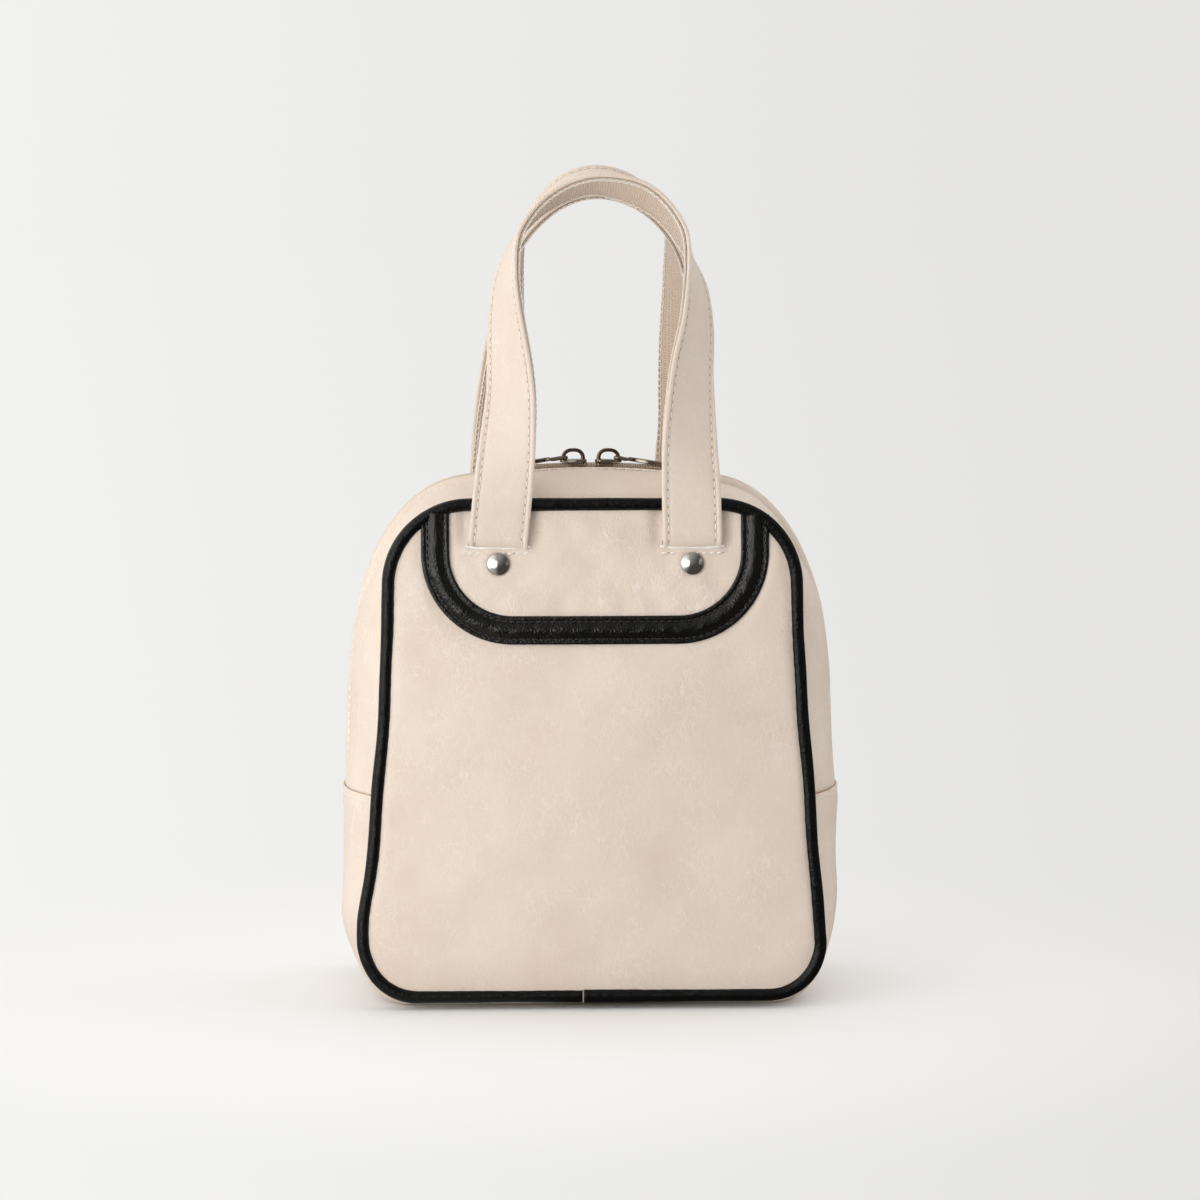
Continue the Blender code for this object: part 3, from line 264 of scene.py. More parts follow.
def hum(p, wave, seed):
    """Smooth noise without random draws: a sum of waves over points, between about -1 and 1."""
    total = np.zeros(p.shape[:-1])
    for k in range(5):
        direction = np.array([math.sin(seed * 3.1 + k * 2.3), math.cos(seed * 1.7 + k * 4.1),
                              math.sin(seed * 5.3 + k * 1.1 + 0.7)])
        direction = direction / np.linalg.norm(direction)
        size = wave * (1 + 0.37 * k) / 1.6
        total += np.sin(p @ direction * (2 * math.pi / size) + seed * 2.9 + k * 1.3) / 2.4
    return total


def sway(p):
    """The soft body's own unevenness, the same for all pieces that are sewn together."""
    p = np.array(p, float)
    x, y, z = p[..., 0], p[..., 1], p[..., 2]
    left_front = smooth_step(-0.060, -0.100, x) * smooth_step(0.0, -0.040, y)
    flare = -0.0019 * bell(z, 0.043, 0.017)
    soft = smooth_step(0.215, 0.170, z) * smooth_step(0.0, 0.030, z)
    swayed = p.copy()
    swayed[..., 0] += left_front * flare + 0.0006 * soft * hum(p, 0.085, 1.0)
    swayed[..., 1] += 0.0006 * soft * hum(p, 0.095, 2.0)
    return swayed


# The bag's surfaces, as in the part's source

def lerp(a, b, share):
    return a + (b - a) * share


def arc(centre, radius, start, end, steps):
    a = np.radians(np.linspace(start, end, steps + 1))
    return np.stack([centre[0] + radius * np.cos(a), centre[1] + radius * np.sin(a)], -1)


def line(a, b, steps):
    t = np.linspace(0, 1, steps + 1)[:, None]
    return np.asarray(a) * (1 - t) + np.asarray(b) * t


def bezier(p0, p1, p2, p3, steps):
    t = np.linspace(0, 1, steps + 1)[:, None]
    return ((1 - t) ** 3 * np.asarray(p0) + 3 * t * (1 - t) ** 2 * np.asarray(p1)
            + 3 * t * t * (1 - t) * np.asarray(p2) + t ** 3 * np.asarray(p3))


def chain(*stretches):
    return np.concatenate([stretches[0]] + [s[1:] for s in stretches[1:]])


def full_loop(half):
    left = half[1:-1][::-1] * np.array([-1, 1])
    return np.concatenate([half, left])


def side_x(z):
    low, high = PIPING_BOTTOM_Z + FACE_LOW_RADIUS, PIPING_TOP_Z - FACE_HIGH_RADIUS
    share = (z - low) / (high - low)
    return lerp(FACE_LOW_HALF_WIDTH, FACE_HIGH_HALF_WIDTH, share) - 4 * FACE_WAIST * share * (1 - share)


def side_line(start, end, steps):
    z = np.linspace(start, end, steps + 1)
    return np.stack([side_x(z), z], -1)


def face_half():
    low = (FACE_LOW_HALF_WIDTH - FACE_LOW_RADIUS, PIPING_BOTTOM_Z + FACE_LOW_RADIUS)
    high = (FACE_HIGH_HALF_WIDTH - FACE_HIGH_RADIUS, PIPING_TOP_Z - FACE_HIGH_RADIUS)
    return chain(line((0, PIPING_BOTTOM_Z), (low[0], PIPING_BOTTOM_Z), STEPS[0]),
                 arc(low, FACE_LOW_RADIUS, -90, 0, STEPS[1]),
                 side_line(low[1], GUSSET_SEAM_Z, STEPS[2]),
                 side_line(GUSSET_SEAM_Z, high[1], STEPS[3]),
                 arc(high, FACE_HIGH_RADIUS, 0, 90, STEPS[4]),
                 line((high[0], PIPING_TOP_Z), (0, PIPING_TOP_Z), STEPS[5]))


def ridge_half():
    low_x = FACE_LOW_HALF_WIDTH + GUSSET_LOW_BULGE
    high_x = side_x(GUSSET_HIGH_Z) + GUSSET_HIGH_BULGE
    share = (GUSSET_SEAM_Z - GUSSET_LOW_Z) / (GUSSET_HIGH_Z - GUSSET_LOW_Z)
    seam = (lerp(low_x, high_x, share), GUSSET_SEAM_Z)
    angle = math.degrees(math.asin(ZIP_ARCH_HALF_SPAN / ZIP_ARCH_RADIUS))
    top = arc((0, ARCH_CENTRE_Z), ZIP_ARCH_RADIUS, 90 - angle, 90, STEPS[5])
    end = top[0]
    slope = unit(np.array([end[1] - ARCH_CENTRE_Z, -end[0]]))
    foot, low, high = (GUSSET_FOOT_HALF_WIDTH, 0), (low_x, GUSSET_LOW_Z), (high_x, GUSSET_HIGH_Z)
    return chain(line((0, 0), foot, STEPS[0]),
                 bezier(foot, (lerp(foot[0], low_x, LOW_CORNER_SHARES[0]), 0),
                        (low_x, lerp(GUSSET_LOW_Z, 0, LOW_CORNER_SHARES[1])), low, STEPS[1]),
                 line(low, seam, STEPS[2]), line(seam, high, STEPS[3]),
                 bezier(high, (high_x, lerp(GUSSET_HIGH_Z, end[1], HIGH_CORNER_SHARES[0])),
                        end + slope * (HIGH_CORNER_SHARES[1] * (high_x - end[0])), end, STEPS[4]),
                 top)


def loop_normals(loop):
    along = unit(np.roll(loop, -1, 0) - np.roll(loop, 1, 0))
    return np.stack([along[:, 1], -along[:, 0]], -1)


def path_normals(path):
    along = unit(np.gradient(path, axis=0))
    return np.stack([along[:, 1], -along[:, 0]], -1)


def half_depth(z):
    return lerp(FACE_LOW_DEPTH, FACE_HIGH_DEPTH, (z - PIPING_BOTTOM_Z) / (PIPING_TOP_Z - PIPING_BOTTOM_Z)) / 2


def face_half_width(z):
    low, high = PIPING_BOTTOM_Z + FACE_LOW_RADIUS, PIPING_TOP_Z - FACE_HIGH_RADIUS
    drop = np.clip(low - z, 0, FACE_LOW_RADIUS)
    rise = np.clip(z - high, 0, FACE_HIGH_RADIUS)
    below = FACE_LOW_HALF_WIDTH - FACE_LOW_RADIUS + np.sqrt(FACE_LOW_RADIUS ** 2 - drop ** 2)
    above = FACE_HIGH_HALF_WIDTH - FACE_HIGH_RADIUS + np.sqrt(FACE_HIGH_RADIUS ** 2 - rise ** 2)
    return np.where(z < low, below, np.where(z > high, above, side_x(z)))


def face_xyz(x, z, out=0.0):
    """Points on the front face's outer side, or a distance in front of it."""
    x, z = np.asarray(x, float), np.asarray(z, float)
    middle, reach = (PIPING_BOTTOM_Z + PIPING_TOP_Z) / 2, (PIPING_TOP_Z - PIPING_BOTTOM_Z) / 2
    across = np.maximum(0, 1 - (x / face_half_width(z)) ** 2)
    upright = np.maximum(0, 1 - ((z - middle) / reach) ** 2)
    y = -(half_depth(z) + LEATHER / 2 + FACE_CROWN * across * upright + out)
    return np.stack(np.broadcast_arrays(x, y, z), -1)


def face_matrix(x, z):
    step = LEATHER
    along_x = Vector(face_xyz(x + step, z) - face_xyz(x - step, z)).normalized()
    along_z = Vector(face_xyz(x, z + step) - face_xyz(x, z - step)).normalized()
    normal = along_x.cross(along_z).normalized()
    turn = Matrix((along_x, normal.cross(along_x), normal)).transposed().to_4x4()
    return Matrix.Translation(Vector(face_xyz(x, z))) @ turn


def top_edge_z(x, inset):
    x = np.abs(np.asarray(x, float))
    corner = FACE_HIGH_HALF_WIDTH - FACE_HIGH_RADIUS
    radius = FACE_HIGH_RADIUS - inset
    curved = PIPING_TOP_Z - FACE_HIGH_RADIUS + np.sqrt(np.maximum(radius ** 2 - (x - corner) ** 2, 0))
    return np.where(x <= corner, PIPING_TOP_Z - inset, curved)


def band_path(inset):
    """Middle of the band from its left top end round the bottom to its right top end."""
    r, corner_z = BAND_CORNER_RADIUS, BAND_BOTTOM_Z + BAND_CORNER_RADIUS
    left, right = BAND_ENDS
    left_top, right_top = (float(top_edge_z(x, inset)) for x in BAND_ENDS)
    return chain(line((left, left_top), (left, corner_z), 12),
                 arc((left + r, corner_z), r, 180, 270, 36),
                 line((left + r, BAND_BOTTOM_Z), (right - r, BAND_BOTTOM_Z), 44),
                 arc((right - r, corner_z), r, 270, 360, 36),
                 line((right, corner_z), (right, right_top), 12))


FACE_LOOP = full_loop(face_half())
RIDGE_LOOP = full_loop(ridge_half())
RIDGE_NORMALS = loop_normals(RIDGE_LOOP)
COUNT = len(FACE_LOOP)
INDEX = np.arange(COUNT)
FLAT = np.clip(1 - (np.minimum(INDEX, COUNT - INDEX) - STEPS[0]) / STEPS[1], 0, 1)
SEAM = sum(STEPS[:3])
UPPER = np.arange(SEAM, COUNT - SEAM + 1)
LOWER = np.concatenate([np.arange(COUNT - SEAM, COUNT), np.arange(0, SEAM + 1)])


def gusset_depth(lines):
    return half_depth(FACE_LOOP[lines, 1]) - PIPING_RADIUS - GAP


def shoulder_sag(lines, away, share):
    """The leather hangs from the stiffer zip, most at the shoulders, with a crease beside the zip strip."""
    x, z = np.abs(RIDGE_LOOP[lines, 0]), RIDGE_LOOP[lines, 1]
    high = smooth_step(0.190, 0.222, z)
    shoulder = smooth_step(0.036, 0.066, x) * high
    drop = lerp(0.0012, 0.0048, shoulder) * (1 - np.exp(-np.clip(away - 0.0068, 0, None) / 0.0042))
    crease = 0.00085 * shoulder * bell(away, 0.0101, 0.0008)
    crease = crease + 0.00035 * shoulder * bell(away - 0.0235, 0.08 * (x - 0.066), 0.0012)
    return (drop * np.clip(1 - share, 0, 1) ** 0.8 + crease) * high


def gusset_skin(lines, y):
    share = np.abs(y) / gusset_depth(lines)
    flat = GUSSET_FLAT_SHARE * FLAT[lines]
    across = np.clip((share - flat) / (1 - flat), 0, 1.2)
    p = RIDGE_LOOP[lines] + (FACE_LOOP[lines] - RIDGE_LOOP[lines]) * (across ** GUSSET_ROUND)[:, None]
    p = p - RIDGE_NORMALS[lines] * shoulder_sag(lines, np.abs(y), share)[:, None]
    return np.stack([p[:, 0], np.broadcast_to(y, len(lines)), p[:, 1]], -1)


def ridge_directions(lines):
    """Directions out of the bag along the gusset's middle line."""
    return np.stack([RIDGE_NORMALS[lines, 0], np.zeros(len(lines)), RIDGE_NORMALS[lines, 1]], -1)


def outward_from(p):
    """Directions from the bag's middle, as seen from the front."""
    return (p - BAG_MIDDLE) * np.array([1, 0, 1])


def gusset_rows(lines, ys, inward):
    """Rows of points of the gusset's outer side, one for each y, which may vary along the line."""
    normal = ridge_directions(lines)
    rows = []
    for k, y in enumerate(ys):
        deep = inward[k] if isinstance(inward, list) else inward
        rise = np.sum((gusset_skin(lines, y + LEATHER / 2) - gusset_skin(lines, y - LEATHER / 2)) * normal, -1)
        square = unit(normal - np.stack([np.zeros(len(lines)), rise / LEATHER, np.zeros(len(lines))], -1))
        rows.append(gusset_skin(lines, y) - square * np.reshape(deep, (-1, 1)))
    return np.array(rows)


# Materials: a small way of writing node trees

class Tree:
    """The node tree of a new material, or of the world; inputs are values or other nodes' outputs."""

    def __init__(self, name, owner=None):
        self.material = owner or bpy.data.materials.new(name)
        self.material.use_nodes = True
        self.nodes = self.material.node_tree.nodes
        self.links = self.material.node_tree.links
        self.shader = self.nodes.get("Principled BSDF")

    def put(self, socket, value):
        if isinstance(value, bpy.types.NodeSocket):
            self.links.new(value, socket)
        elif isinstance(value, (tuple, list)) and len(value) == 3 and socket.type == 'RGBA':
            socket.default_value = (*value, 1.0)
        else:
            socket.default_value = value

    def add(self, kind, inputs=(), **options):
        node = self.nodes.new("ShaderNode" + kind)
        for key, value in options.items():
            setattr(node, key, value)
        for key, value in dict(inputs).items():
            self.put(node.inputs[key], value)
        return node

    def math(self, operation, a, b=0.0):
        return self.add("Math", {0: a, 1: b}, operation=operation).outputs[0]

    def plus(self, a, b):
        return self.math('ADD', a, b)

    def minus(self, a, b):
        return self.math('SUBTRACT', a, b)

    def times(self, a, b):
        return self.math('MULTIPLY', a, b)

    def over(self, a, b):
        return self.math('DIVIDE', a, b)

    def noise(self, vector, scale, detail=2.0, rough=0.5, kind='FBM'):
        return self.add("TexNoise", {"Vector": vector, "Scale": scale, "Detail": detail, "Roughness": rough},
                        noise_type=kind).outputs["Fac"]

    def span(self, value, low, high, to_low=0.0, to_high=1.0):
        return self.add("MapRange", {"Value": value, "From Min": low, "From Max": high,
                                     "To Min": to_low, "To Max": to_high}).outputs[0]

    def mix(self, factor, a, b):
        node = self.add("Mix", data_type='RGBA')
        self.put(node.inputs[0], factor)
        self.put(node.inputs[6], a)
        self.put(node.inputs[7], b)
        return node.outputs[2]

    def bump(self, height, distance, strength=1.0, before=None):
        inputs = {"Height": height, "Distance": distance, "Strength": strength}
        if before is not None:
            inputs["Normal"] = before
        return self.add("Bump", inputs).outputs[0]

    def finish(self, **sockets):
        for key, value in sockets.items():
            self.put(self.shader.inputs[key.replace("_", " ")], value)
        return self.material


def scaled(colour, *shares):
    """A colour times one share, or a share for each channel."""
    return tuple(min(c * k, 1.0) for c, k in zip(colour, shares * 3 if len(shares) == 1 else shares))


def object_coordinates(tree):
    return tree.add("TexCoord").outputs["Object"]


def turned(tree, vector, turn, scale):
    return tree.add("Mapping", {"Vector": vector, "Rotation": turn, "Scale": scale}).outputs[0]


def warped(tree, vector, scale, reach):
    """The same coordinates, pushed about by a noise."""
    push = tree.add("TexNoise", {"Vector": vector, "Scale": scale, "Detail": 2.0}).outputs["Color"]
    push = tree.add("VectorMath", {0: push, 1: (0.5, 0.5, 0.5)}, operation='SUBTRACT').outputs[0]
    push = tree.add("VectorMath", {0: push, "Scale": reach}, operation='SCALE').outputs[0]
    return tree.add("VectorMath", {0: vector, 1: push}, operation='ADD').outputs[0]


def crease_net(tree, vector, slant, stretch, scale, width, patches, low, high):
    """Thin broken lines that run mostly one way, in patches."""
    slanted = turned(tree, vector, (0.0, slant, 0.0), (1.0, 0.7, stretch))
    cells = tree.add("TexVoronoi", {"Vector": slanted, "Scale": scale}, feature='DISTANCE_TO_EDGE').outputs[0]
    where = tree.span(tree.noise(vector, patches, 3.0, 0.6), low, high)
    return tree.times(tree.span(cells, 0.0, width, 1.0, 0.0), where)


def pale_leather(name, base, crease=1.0, strap=False):
    """Fine pale leather: pores, nets of thin creases that are lighter partly in their own colour and partly by
    a painted highlight on their ridges, and a slightly uneven tone.
    """
    t = Tree(name)
    place = object_coordinates(t)
    pushed = warped(t, place, 130.0, 0.0030)
    pores = t.add("TexVoronoi", {"Vector": warped(t, place, 900.0, 0.0006), "Scale": 1150.0},
                  feature='SMOOTH_F1').outputs[0]
    one = crease_net(t, pushed, 0.55, 0.42, 360.0, 0.075, 42.0, 0.42, 0.66)
    two = crease_net(t, pushed, -0.70, 0.50, 500.0, 0.085, 60.0, 0.42, 0.68)
    lines = t.math('MAXIMUM', one, two)
    soft = t.noise(place, 26.0, 4.0, 0.6)
    darker, lighter = scaled(base, 0.925, 0.895, 0.870), scaled(base, 1.100, 1.120, 1.145)
    colour = t.mix(t.span(soft, 0.30, 0.72), darker, base)
    # Painted highlight: the crease lines are lightened in colour, partly the leather's own lighter creases and
    # partly light caught on their ridges.
    colour = t.mix(t.times(lines, min(0.68 * crease, 1.0)), colour, lighter)
    colour = t.mix(t.span(pores, 0.42, 0.0, 0.0, 0.16), colour, darker)
    height = t.plus(t.times(pores, 0.40), t.times(lines, -0.90 * crease))
    if strap:
        hole_dent_and_shade, groove_shade = stitch_holes(t)
        # Painted shade: the stitch groove and the needle holes are darkened brown; the holes are also dented by
        # the bump.
        colour = t.mix(t.times(groove_shade, 0.22), colour, (0.50, 0.36, 0.25))
        colour = t.mix(t.times(hole_dent_and_shade, 0.62), colour, (0.42, 0.275, 0.175))
        height = t.minus(height, t.times(hole_dent_and_shade, 2.0))
    normal = t.bump(height, 0.00013, 0.85)
    slanted = turned(t, pushed, (0.0, 0.35, 0.0), (1.0, 1.0, 0.45))
    folds = t.noise(slanted, 230.0, 3.0, 0.6, 'RIDGED_MULTIFRACTAL')
    normal = t.bump(folds, 0.00040, 0.34 * crease, normal)
    normal = t.bump(t.noise(place, 62.0, 3.0, 0.55), 0.0012, 0.42, normal)
    rough = t.span(t.plus(pores, t.times(soft, 0.5)), 0.2, 1.1, 0.42, 0.58)
    return t.finish(Base_Color=colour, Roughness=rough, Normal=normal, Specular_IOR_Level=0.38,
                    Subsurface_Weight=0.06, Subsurface_Radius=(0.004, 0.002, 0.001), Subsurface_Scale=0.4)


def stitch_holes(t):
    """Masks of the needle holes and of the seated line between them, from the strap's UV in metres; the strap's
    colour is darkened there as painted shade, and the holes are also dented.
    """
    parts = t.add("SeparateXYZ", {0: t.add("UVMap", uv_map="UVMap").outputs[0]})
    off_line = t.math('ABSOLUTE', t.minus(t.math('ABSOLUTE', parts.outputs[0]), STITCH_LINE))
    turn = t.math('FRACT', t.plus(t.over(parts.outputs[1], STITCH_PITCH), 0.5))
    from_hole = t.times(t.math('ABSOLUTE', t.minus(turn, 0.5)), STITCH_PITCH)
    far = t.math('SQRT', t.plus(t.math('POWER', t.times(off_line, 1.5), 2.0),
                                t.math('POWER', from_hole, 2.0)))
    hole_dent_and_shade = t.span(far, 0.00040, 0.00085, 1.0, 0.0)
    return hole_dent_and_shade, t.span(off_line, 0.00020, 0.00085, 1.0, 0.0)


def dark_leather(name, shine):
    """Black leather with a fine grain, small wrinkles with a painted glint along their crests, a soft shine,
    and lighter rubbed spots.
    """
    t = Tree(name)
    place = object_coordinates(t)
    pores = t.add("TexVoronoi", {"Vector": place, "Scale": 1150.0}, feature='SMOOTH_F1').outputs[0]
    wrinkles = t.noise(warped(t, place, 300.0, 0.002), 330.0, 4.0, 0.65, 'RIDGED_MULTIFRACTAL')
    rubbed = t.noise(place, 150.0, 4.0, 0.6)
    colour = t.mix(t.span(rubbed, 0.45, 0.85), (0.0028, 0.0028, 0.0030), (0.0052, 0.0051, 0.0052))
    # Painted glint: the colour is lighter along the wrinkles' crests.
    colour = t.mix(t.span(wrinkles, 0.9, 1.6, 0.0, 0.30), colour, (0.022, 0.021, 0.020))
    height = t.plus(t.times(pores, 0.6), t.times(wrinkles, -0.35))
    normal = t.bump(height, 0.00048, 1.0)
    creases = t.noise(warped(t, place, 160.0, 0.003), 190.0, 3.0, 0.6, 'RIDGED_MULTIFRACTAL')
    normal = t.bump(creases, 0.00075, 0.55, normal)
    rough = t.span(rubbed, 0.3, 0.8, 0.20, 0.28)
    return t.finish(Base_Color=colour, Roughness=rough, Normal=normal, Specular_IOR_Level=shine)


def metal(name, base, rough):
    """Polished plating with faint scratches and smudges."""
    t = Tree(name)
    place = object_coordinates(t)
    smudge = t.noise(place, 160.0, 3.0, 0.6)
    scratch = t.noise(turned(t, place, (0.4, 0.3, 0.9), (1.0, 0.05, 1.0)), 2600.0, 2.0, 0.5)
    colour = t.mix(t.span(smudge, 0.35, 0.75), scaled(base, 0.86), base)
    level = t.plus(t.span(smudge, 0.3, 0.8, rough * 0.7, rough * 1.3),
                   t.span(scratch, 0.55, 0.75, 0.0, 0.08))
    return t.finish(Base_Color=colour, Roughness=level, Metallic=1.0,
                    Normal=t.bump(scratch, 0.00001, 0.25))


def thread(name, base, rough=0.6):
    """Twisted sewing thread."""
    t = Tree(name)
    place = object_coordinates(t)
    twist = t.noise(turned(t, place, (0.6, 0.6, 0.2), (1.0, 1.0, 1.0)), 2400.0, 2.0, 0.5)
    colour = t.mix(twist, scaled(base, 0.80), base)
    return t.finish(Base_Color=colour, Roughness=rough, Normal=t.bump(twist, 0.00008, 0.8),
                    Specular_IOR_Level=0.35, Sheen_Weight=0.15)


def weave(name, base, across, along, depth, uv=True):
    """Woven cloth: ribs across and chains along, from UV in metres or from the object's own space, with painted
    shade in the hollows between them.
    """
    t = Tree(name)
    place = object_coordinates(t)
    x, y, z = t.add("SeparateXYZ", {0: t.add("UVMap", uv_map="UVMap").outputs[0] if uv else place}).outputs
    u, v = (x, y) if uv else (t.plus(x, y), z)
    turn = t.times(v, math.pi / along)
    rib = t.math('ABSOLUTE', t.math('SINE', turn))
    strand = t.math('ABSOLUTE', t.math('SINE', t.times(u, math.pi / across)))
    over = t.math('SINE', t.plus(turn, t.times(t.math('FLOOR', t.over(u, across)), math.pi / 2)))
    height = t.times(t.plus(t.times(rib, 0.55), t.times(t.math('ABSOLUTE', over), 0.45)),
                     t.plus(t.times(strand, 0.45), 0.55))
    fibres = t.noise(place, 3800.0, 2.0, 0.6)
    uneven = t.noise(place, 260.0, 3.0, 0.6)
    # Painted shade: the colour is darker where the weave is low, in the hollows between ribs and strands.
    colour = t.mix(t.span(height, 0.05, 0.55), scaled(base, 0.62, 0.55, 0.50), base)
    colour = t.mix(t.span(uneven, 0.35, 0.75, 0.0, 0.25), colour, scaled(base, 1.12))
    normal = t.bump(fibres, 0.00003, 0.5, t.bump(height, depth, 0.9))
    return t.finish(Base_Color=colour, Roughness=0.82, Normal=normal, Specular_IOR_Level=0.25,
                    Sheen_Weight=0.25, Sheen_Roughness=0.5)


def plain_nylon(name, base):
    t = Tree(name)
    place = object_coordinates(t)
    tone = t.noise(place, 300.0, 3.0, 0.6)
    colour = t.mix(t.span(tone, 0.3, 0.7), scaled(base, 0.86), base)
    return t.finish(Base_Color=colour, Roughness=0.42, Normal=t.bump(tone, 0.00002, 0.4))


def board_paper(name):
    t = Tree(name)
    place = object_coordinates(t)
    fleck = t.noise(place, 900.0, 4.0, 0.7)
    colour = t.mix(t.span(fleck, 0.35, 0.65), (0.20, 0.18, 0.155), (0.33, 0.30, 0.26))
    return t.finish(Base_Color=colour, Roughness=0.9, Normal=t.bump(fleck, 0.00006, 0.6))


CREAM = (0.722, 0.625, 0.540)
leather = pale_leather("pale_leather", CREAM)
yoke_leather = pale_leather("yoke_leather", CREAM, 1.3)
strap_leather = pale_leather("strap_leather", (0.712, 0.618, 0.535), 0.85, strap=True)
black = dark_leather("dark_leather", 0.36)
piping_leather = dark_leather("piping_leather", 0.18)
nickel = metal("nickel", (0.60, 0.585, 0.555), 0.17)
dark_nickel = metal("dark_nickel", (0.270, 0.232, 0.192), 0.14)
dark_bronze = metal("dark_bronze", (0.150, 0.108, 0.080), 0.20)
cream_thread = thread("cream_thread", (0.86, 0.80, 0.72))
white_thread = thread("white_thread", (0.92, 0.89, 0.83))
black_thread = thread("black_thread", (0.017, 0.0165, 0.0165), 0.45)
webbing = weave("webbing_weave", (0.62, 0.50, 0.40), 0.0015, 0.0013, 0.00030)
tape_cloth = weave("tape_weave", (0.46, 0.33, 0.215), 0.0006, 0.0006, 0.00006, uv=False)
lining_cloth = weave("lining_weave", (0.52, 0.44, 0.37), 0.0005, 0.0005, 0.00004, uv=False)
coil_nylon = plain_nylon("coil_nylon", (0.70, 0.58, 0.46))
raw_edge = plain_nylon("raw_edge", (0.90, 0.88, 0.84))
# Dark brown for painted shade: tubes in the needle holes and in the gap under the bottom gusset's fold.
painted_shade_brown = plain_nylon("painted_shade_brown", (0.40, 0.25, 0.15))
grey_edge = plain_nylon("grey_edge", (0.30, 0.29, 0.28))
board = board_paper("board_paper")


# Putting pieces on the frame

def label(name, back):
    """A front piece's name, or that of its twin, whose left and right are swapped."""
    swapped = {"front": "back", "left": "right", "right": "left"}
    return "_".join(swapped.get(word, word) for word in name.split("_")) if back else name


def place(obj, body, nodes, slot):
    """The body that a piece rides on, and the solids that it stands for. slot, its material's slot, is not
    used.
    """
    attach(obj, body)
    if nodes:
        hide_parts(*nodes)


def twin(make, nodes, slot):
    """Makes a front piece, and the same for the back, turned; make is told whether it is for the back."""
    for back in (False, True):
        obj = make(back)
        if back:
            obj.data.transform(half_turn)
        place(obj, "bag", [label(n, back) for n in nodes], slot)


def settle(p, back):
    """The body's unevenness at a front piece, or at the same piece turned to the back."""
    turn = np.array([-1, -1, 1]) if back else 1
    return sway(np.asarray(p, float) * turn) * turn


def stitch_row(name, points, normals, pitch, length, radius, material, lift=0.35, skew=0.0, run=None, skip=0,
               shift=0.0):
    """Single stitches along a path, each a short raised thread whose ends go into the sheet.

    lift is the height of a stitch's middle in radii, and skew is how far it slants. With run, the distances
    along the path, the pitch stays as it is; otherwise it is fitted to the path's length.
    """
    points = np.asarray(points, float)
    normals = np.broadcast_to(np.asarray(normals, float), points.shape)
    if run is None:
        run = runs(points)
        pitch = run[-1] / max(round(run[-1] / pitch), 1)
    verts, faces = [], []
    sides = 6
    along = np.linspace(-0.5, 0.5, 7)
    rise = lift - (lift + 1.0) * (2 * np.abs(along)) ** 3
    thick = 1 - 0.45 * (2 * np.abs(along)) ** 4
    for i in range(skip, int(run[-1] / pitch + 0.01) - skip):
        where = (i + 0.5 + shift) * pitch + along * length
        p, n = at_run(where, run, points), unit(at_run(where, run, normals))
        side = np.cross(n, unit(p[-1] - p[0]))
        p = p + n * (rise * radius)[:, None] + side * (along * skew)[:, None]
        faces += ring_faces(len(along), sides, first=len(verts) * len(along) * sides)
        verts.append(tube_rings(p, n, radius * thick, sides).reshape(-1, 3))
    return mesh_object(name, np.concatenate(verts), faces, material)


def join(name, objects):
    """One object from several meshes."""
    bm = bmesh.new()
    for obj in objects:
        bm.from_mesh(obj.data)
    mesh = objects[0].data.copy()
    bm.to_mesh(mesh)
    bm.free()
    mesh.name = name
    mesh.shade_smooth()
    joined = add_object(name, mesh)
    for obj in objects:
        bpy.data.objects.remove(obj)
    return joined


# Faces: panel, yoke, band and piping

# How far the sheets' edges stay inside the middle of the piping
SHEET_INSET = 0.0012


def edge_share(count):
    """Shares from 0 to 1, closer together near both ends."""
    return (1 - np.cos(np.linspace(0, math.pi, count))) / 2


def strap_x(side, back):
    """Middle of a strap at the yoke; the straps sit slightly off the middle, at the back mirrored."""
    return side * HANDLE_HALF_SPAN + (-STRAP_SHIFT if back else STRAP_SHIFT)


def make_panel(back):
    count = 321
    band = resample(band_path(SHEET_INSET), count)
    inner = band + path_normals(band) * 0.0002
    loop = FACE_LOOP - loop_normals(FACE_LOOP) * SHEET_INSET
    left, right = BAND_ENDS
    keep = [i for i in range(COUNT)
            if loop[i, 1] < PIPING_TOP_Z - FACE_HIGH_RADIUS or not left < loop[i, 0] < right]
    start = next(k for k, i in enumerate(keep) if loop[i, 0] < 0)
    first = (left - 0.001, top_edge_z(left, SHEET_INSET))
    last = (right + 0.001, top_edge_z(right, SHEET_INSET))
    outer = resample(np.concatenate([[first], loop[keep[start:]], loop[keep[:start]], [last]]), count)
    share = edge_share(90)
    flat = inner[None] + (outer - inner)[None] * share[:, None, None]
    width = np.linalg.norm(outer - inner, axis=-1)[None]
    from_edge = width * (1 - share[:, None])
    from_band = width * share[:, None]
    p = face_xyz(flat[..., 0], flat[..., 1])
    puff = 0.0013 * (1 - bell(from_edge, 0.0, 0.0085)) * smooth_step(0.006, 0.016, from_band)
    run = runs(outer)[None]
    pucker = (np.sin(run / 0.0047 * 2 * math.pi + 1.4 * np.sin(run / 0.031)) * 0.6
              + np.sin(run / 0.0083 * 2 * math.pi + 2.0 * np.sin(run / 0.047))) * 0.00011
    pucker = pucker * bell(from_edge, 0.004, 0.0035)
    folds = 0.00045 * hum(p, 0.060, 4.0 + back) + 0.00022 * hum(p, 0.026, 7.0 + back)
    folds = folds * smooth_step(0.0, 0.020, from_edge) * smooth_step(0.004, 0.018, from_band)
    p[..., 1] -= puff + pucker + folds
    return shell(label("front_panel_leather", back), settle(p, back), LEATHER, leather, FORWARD)


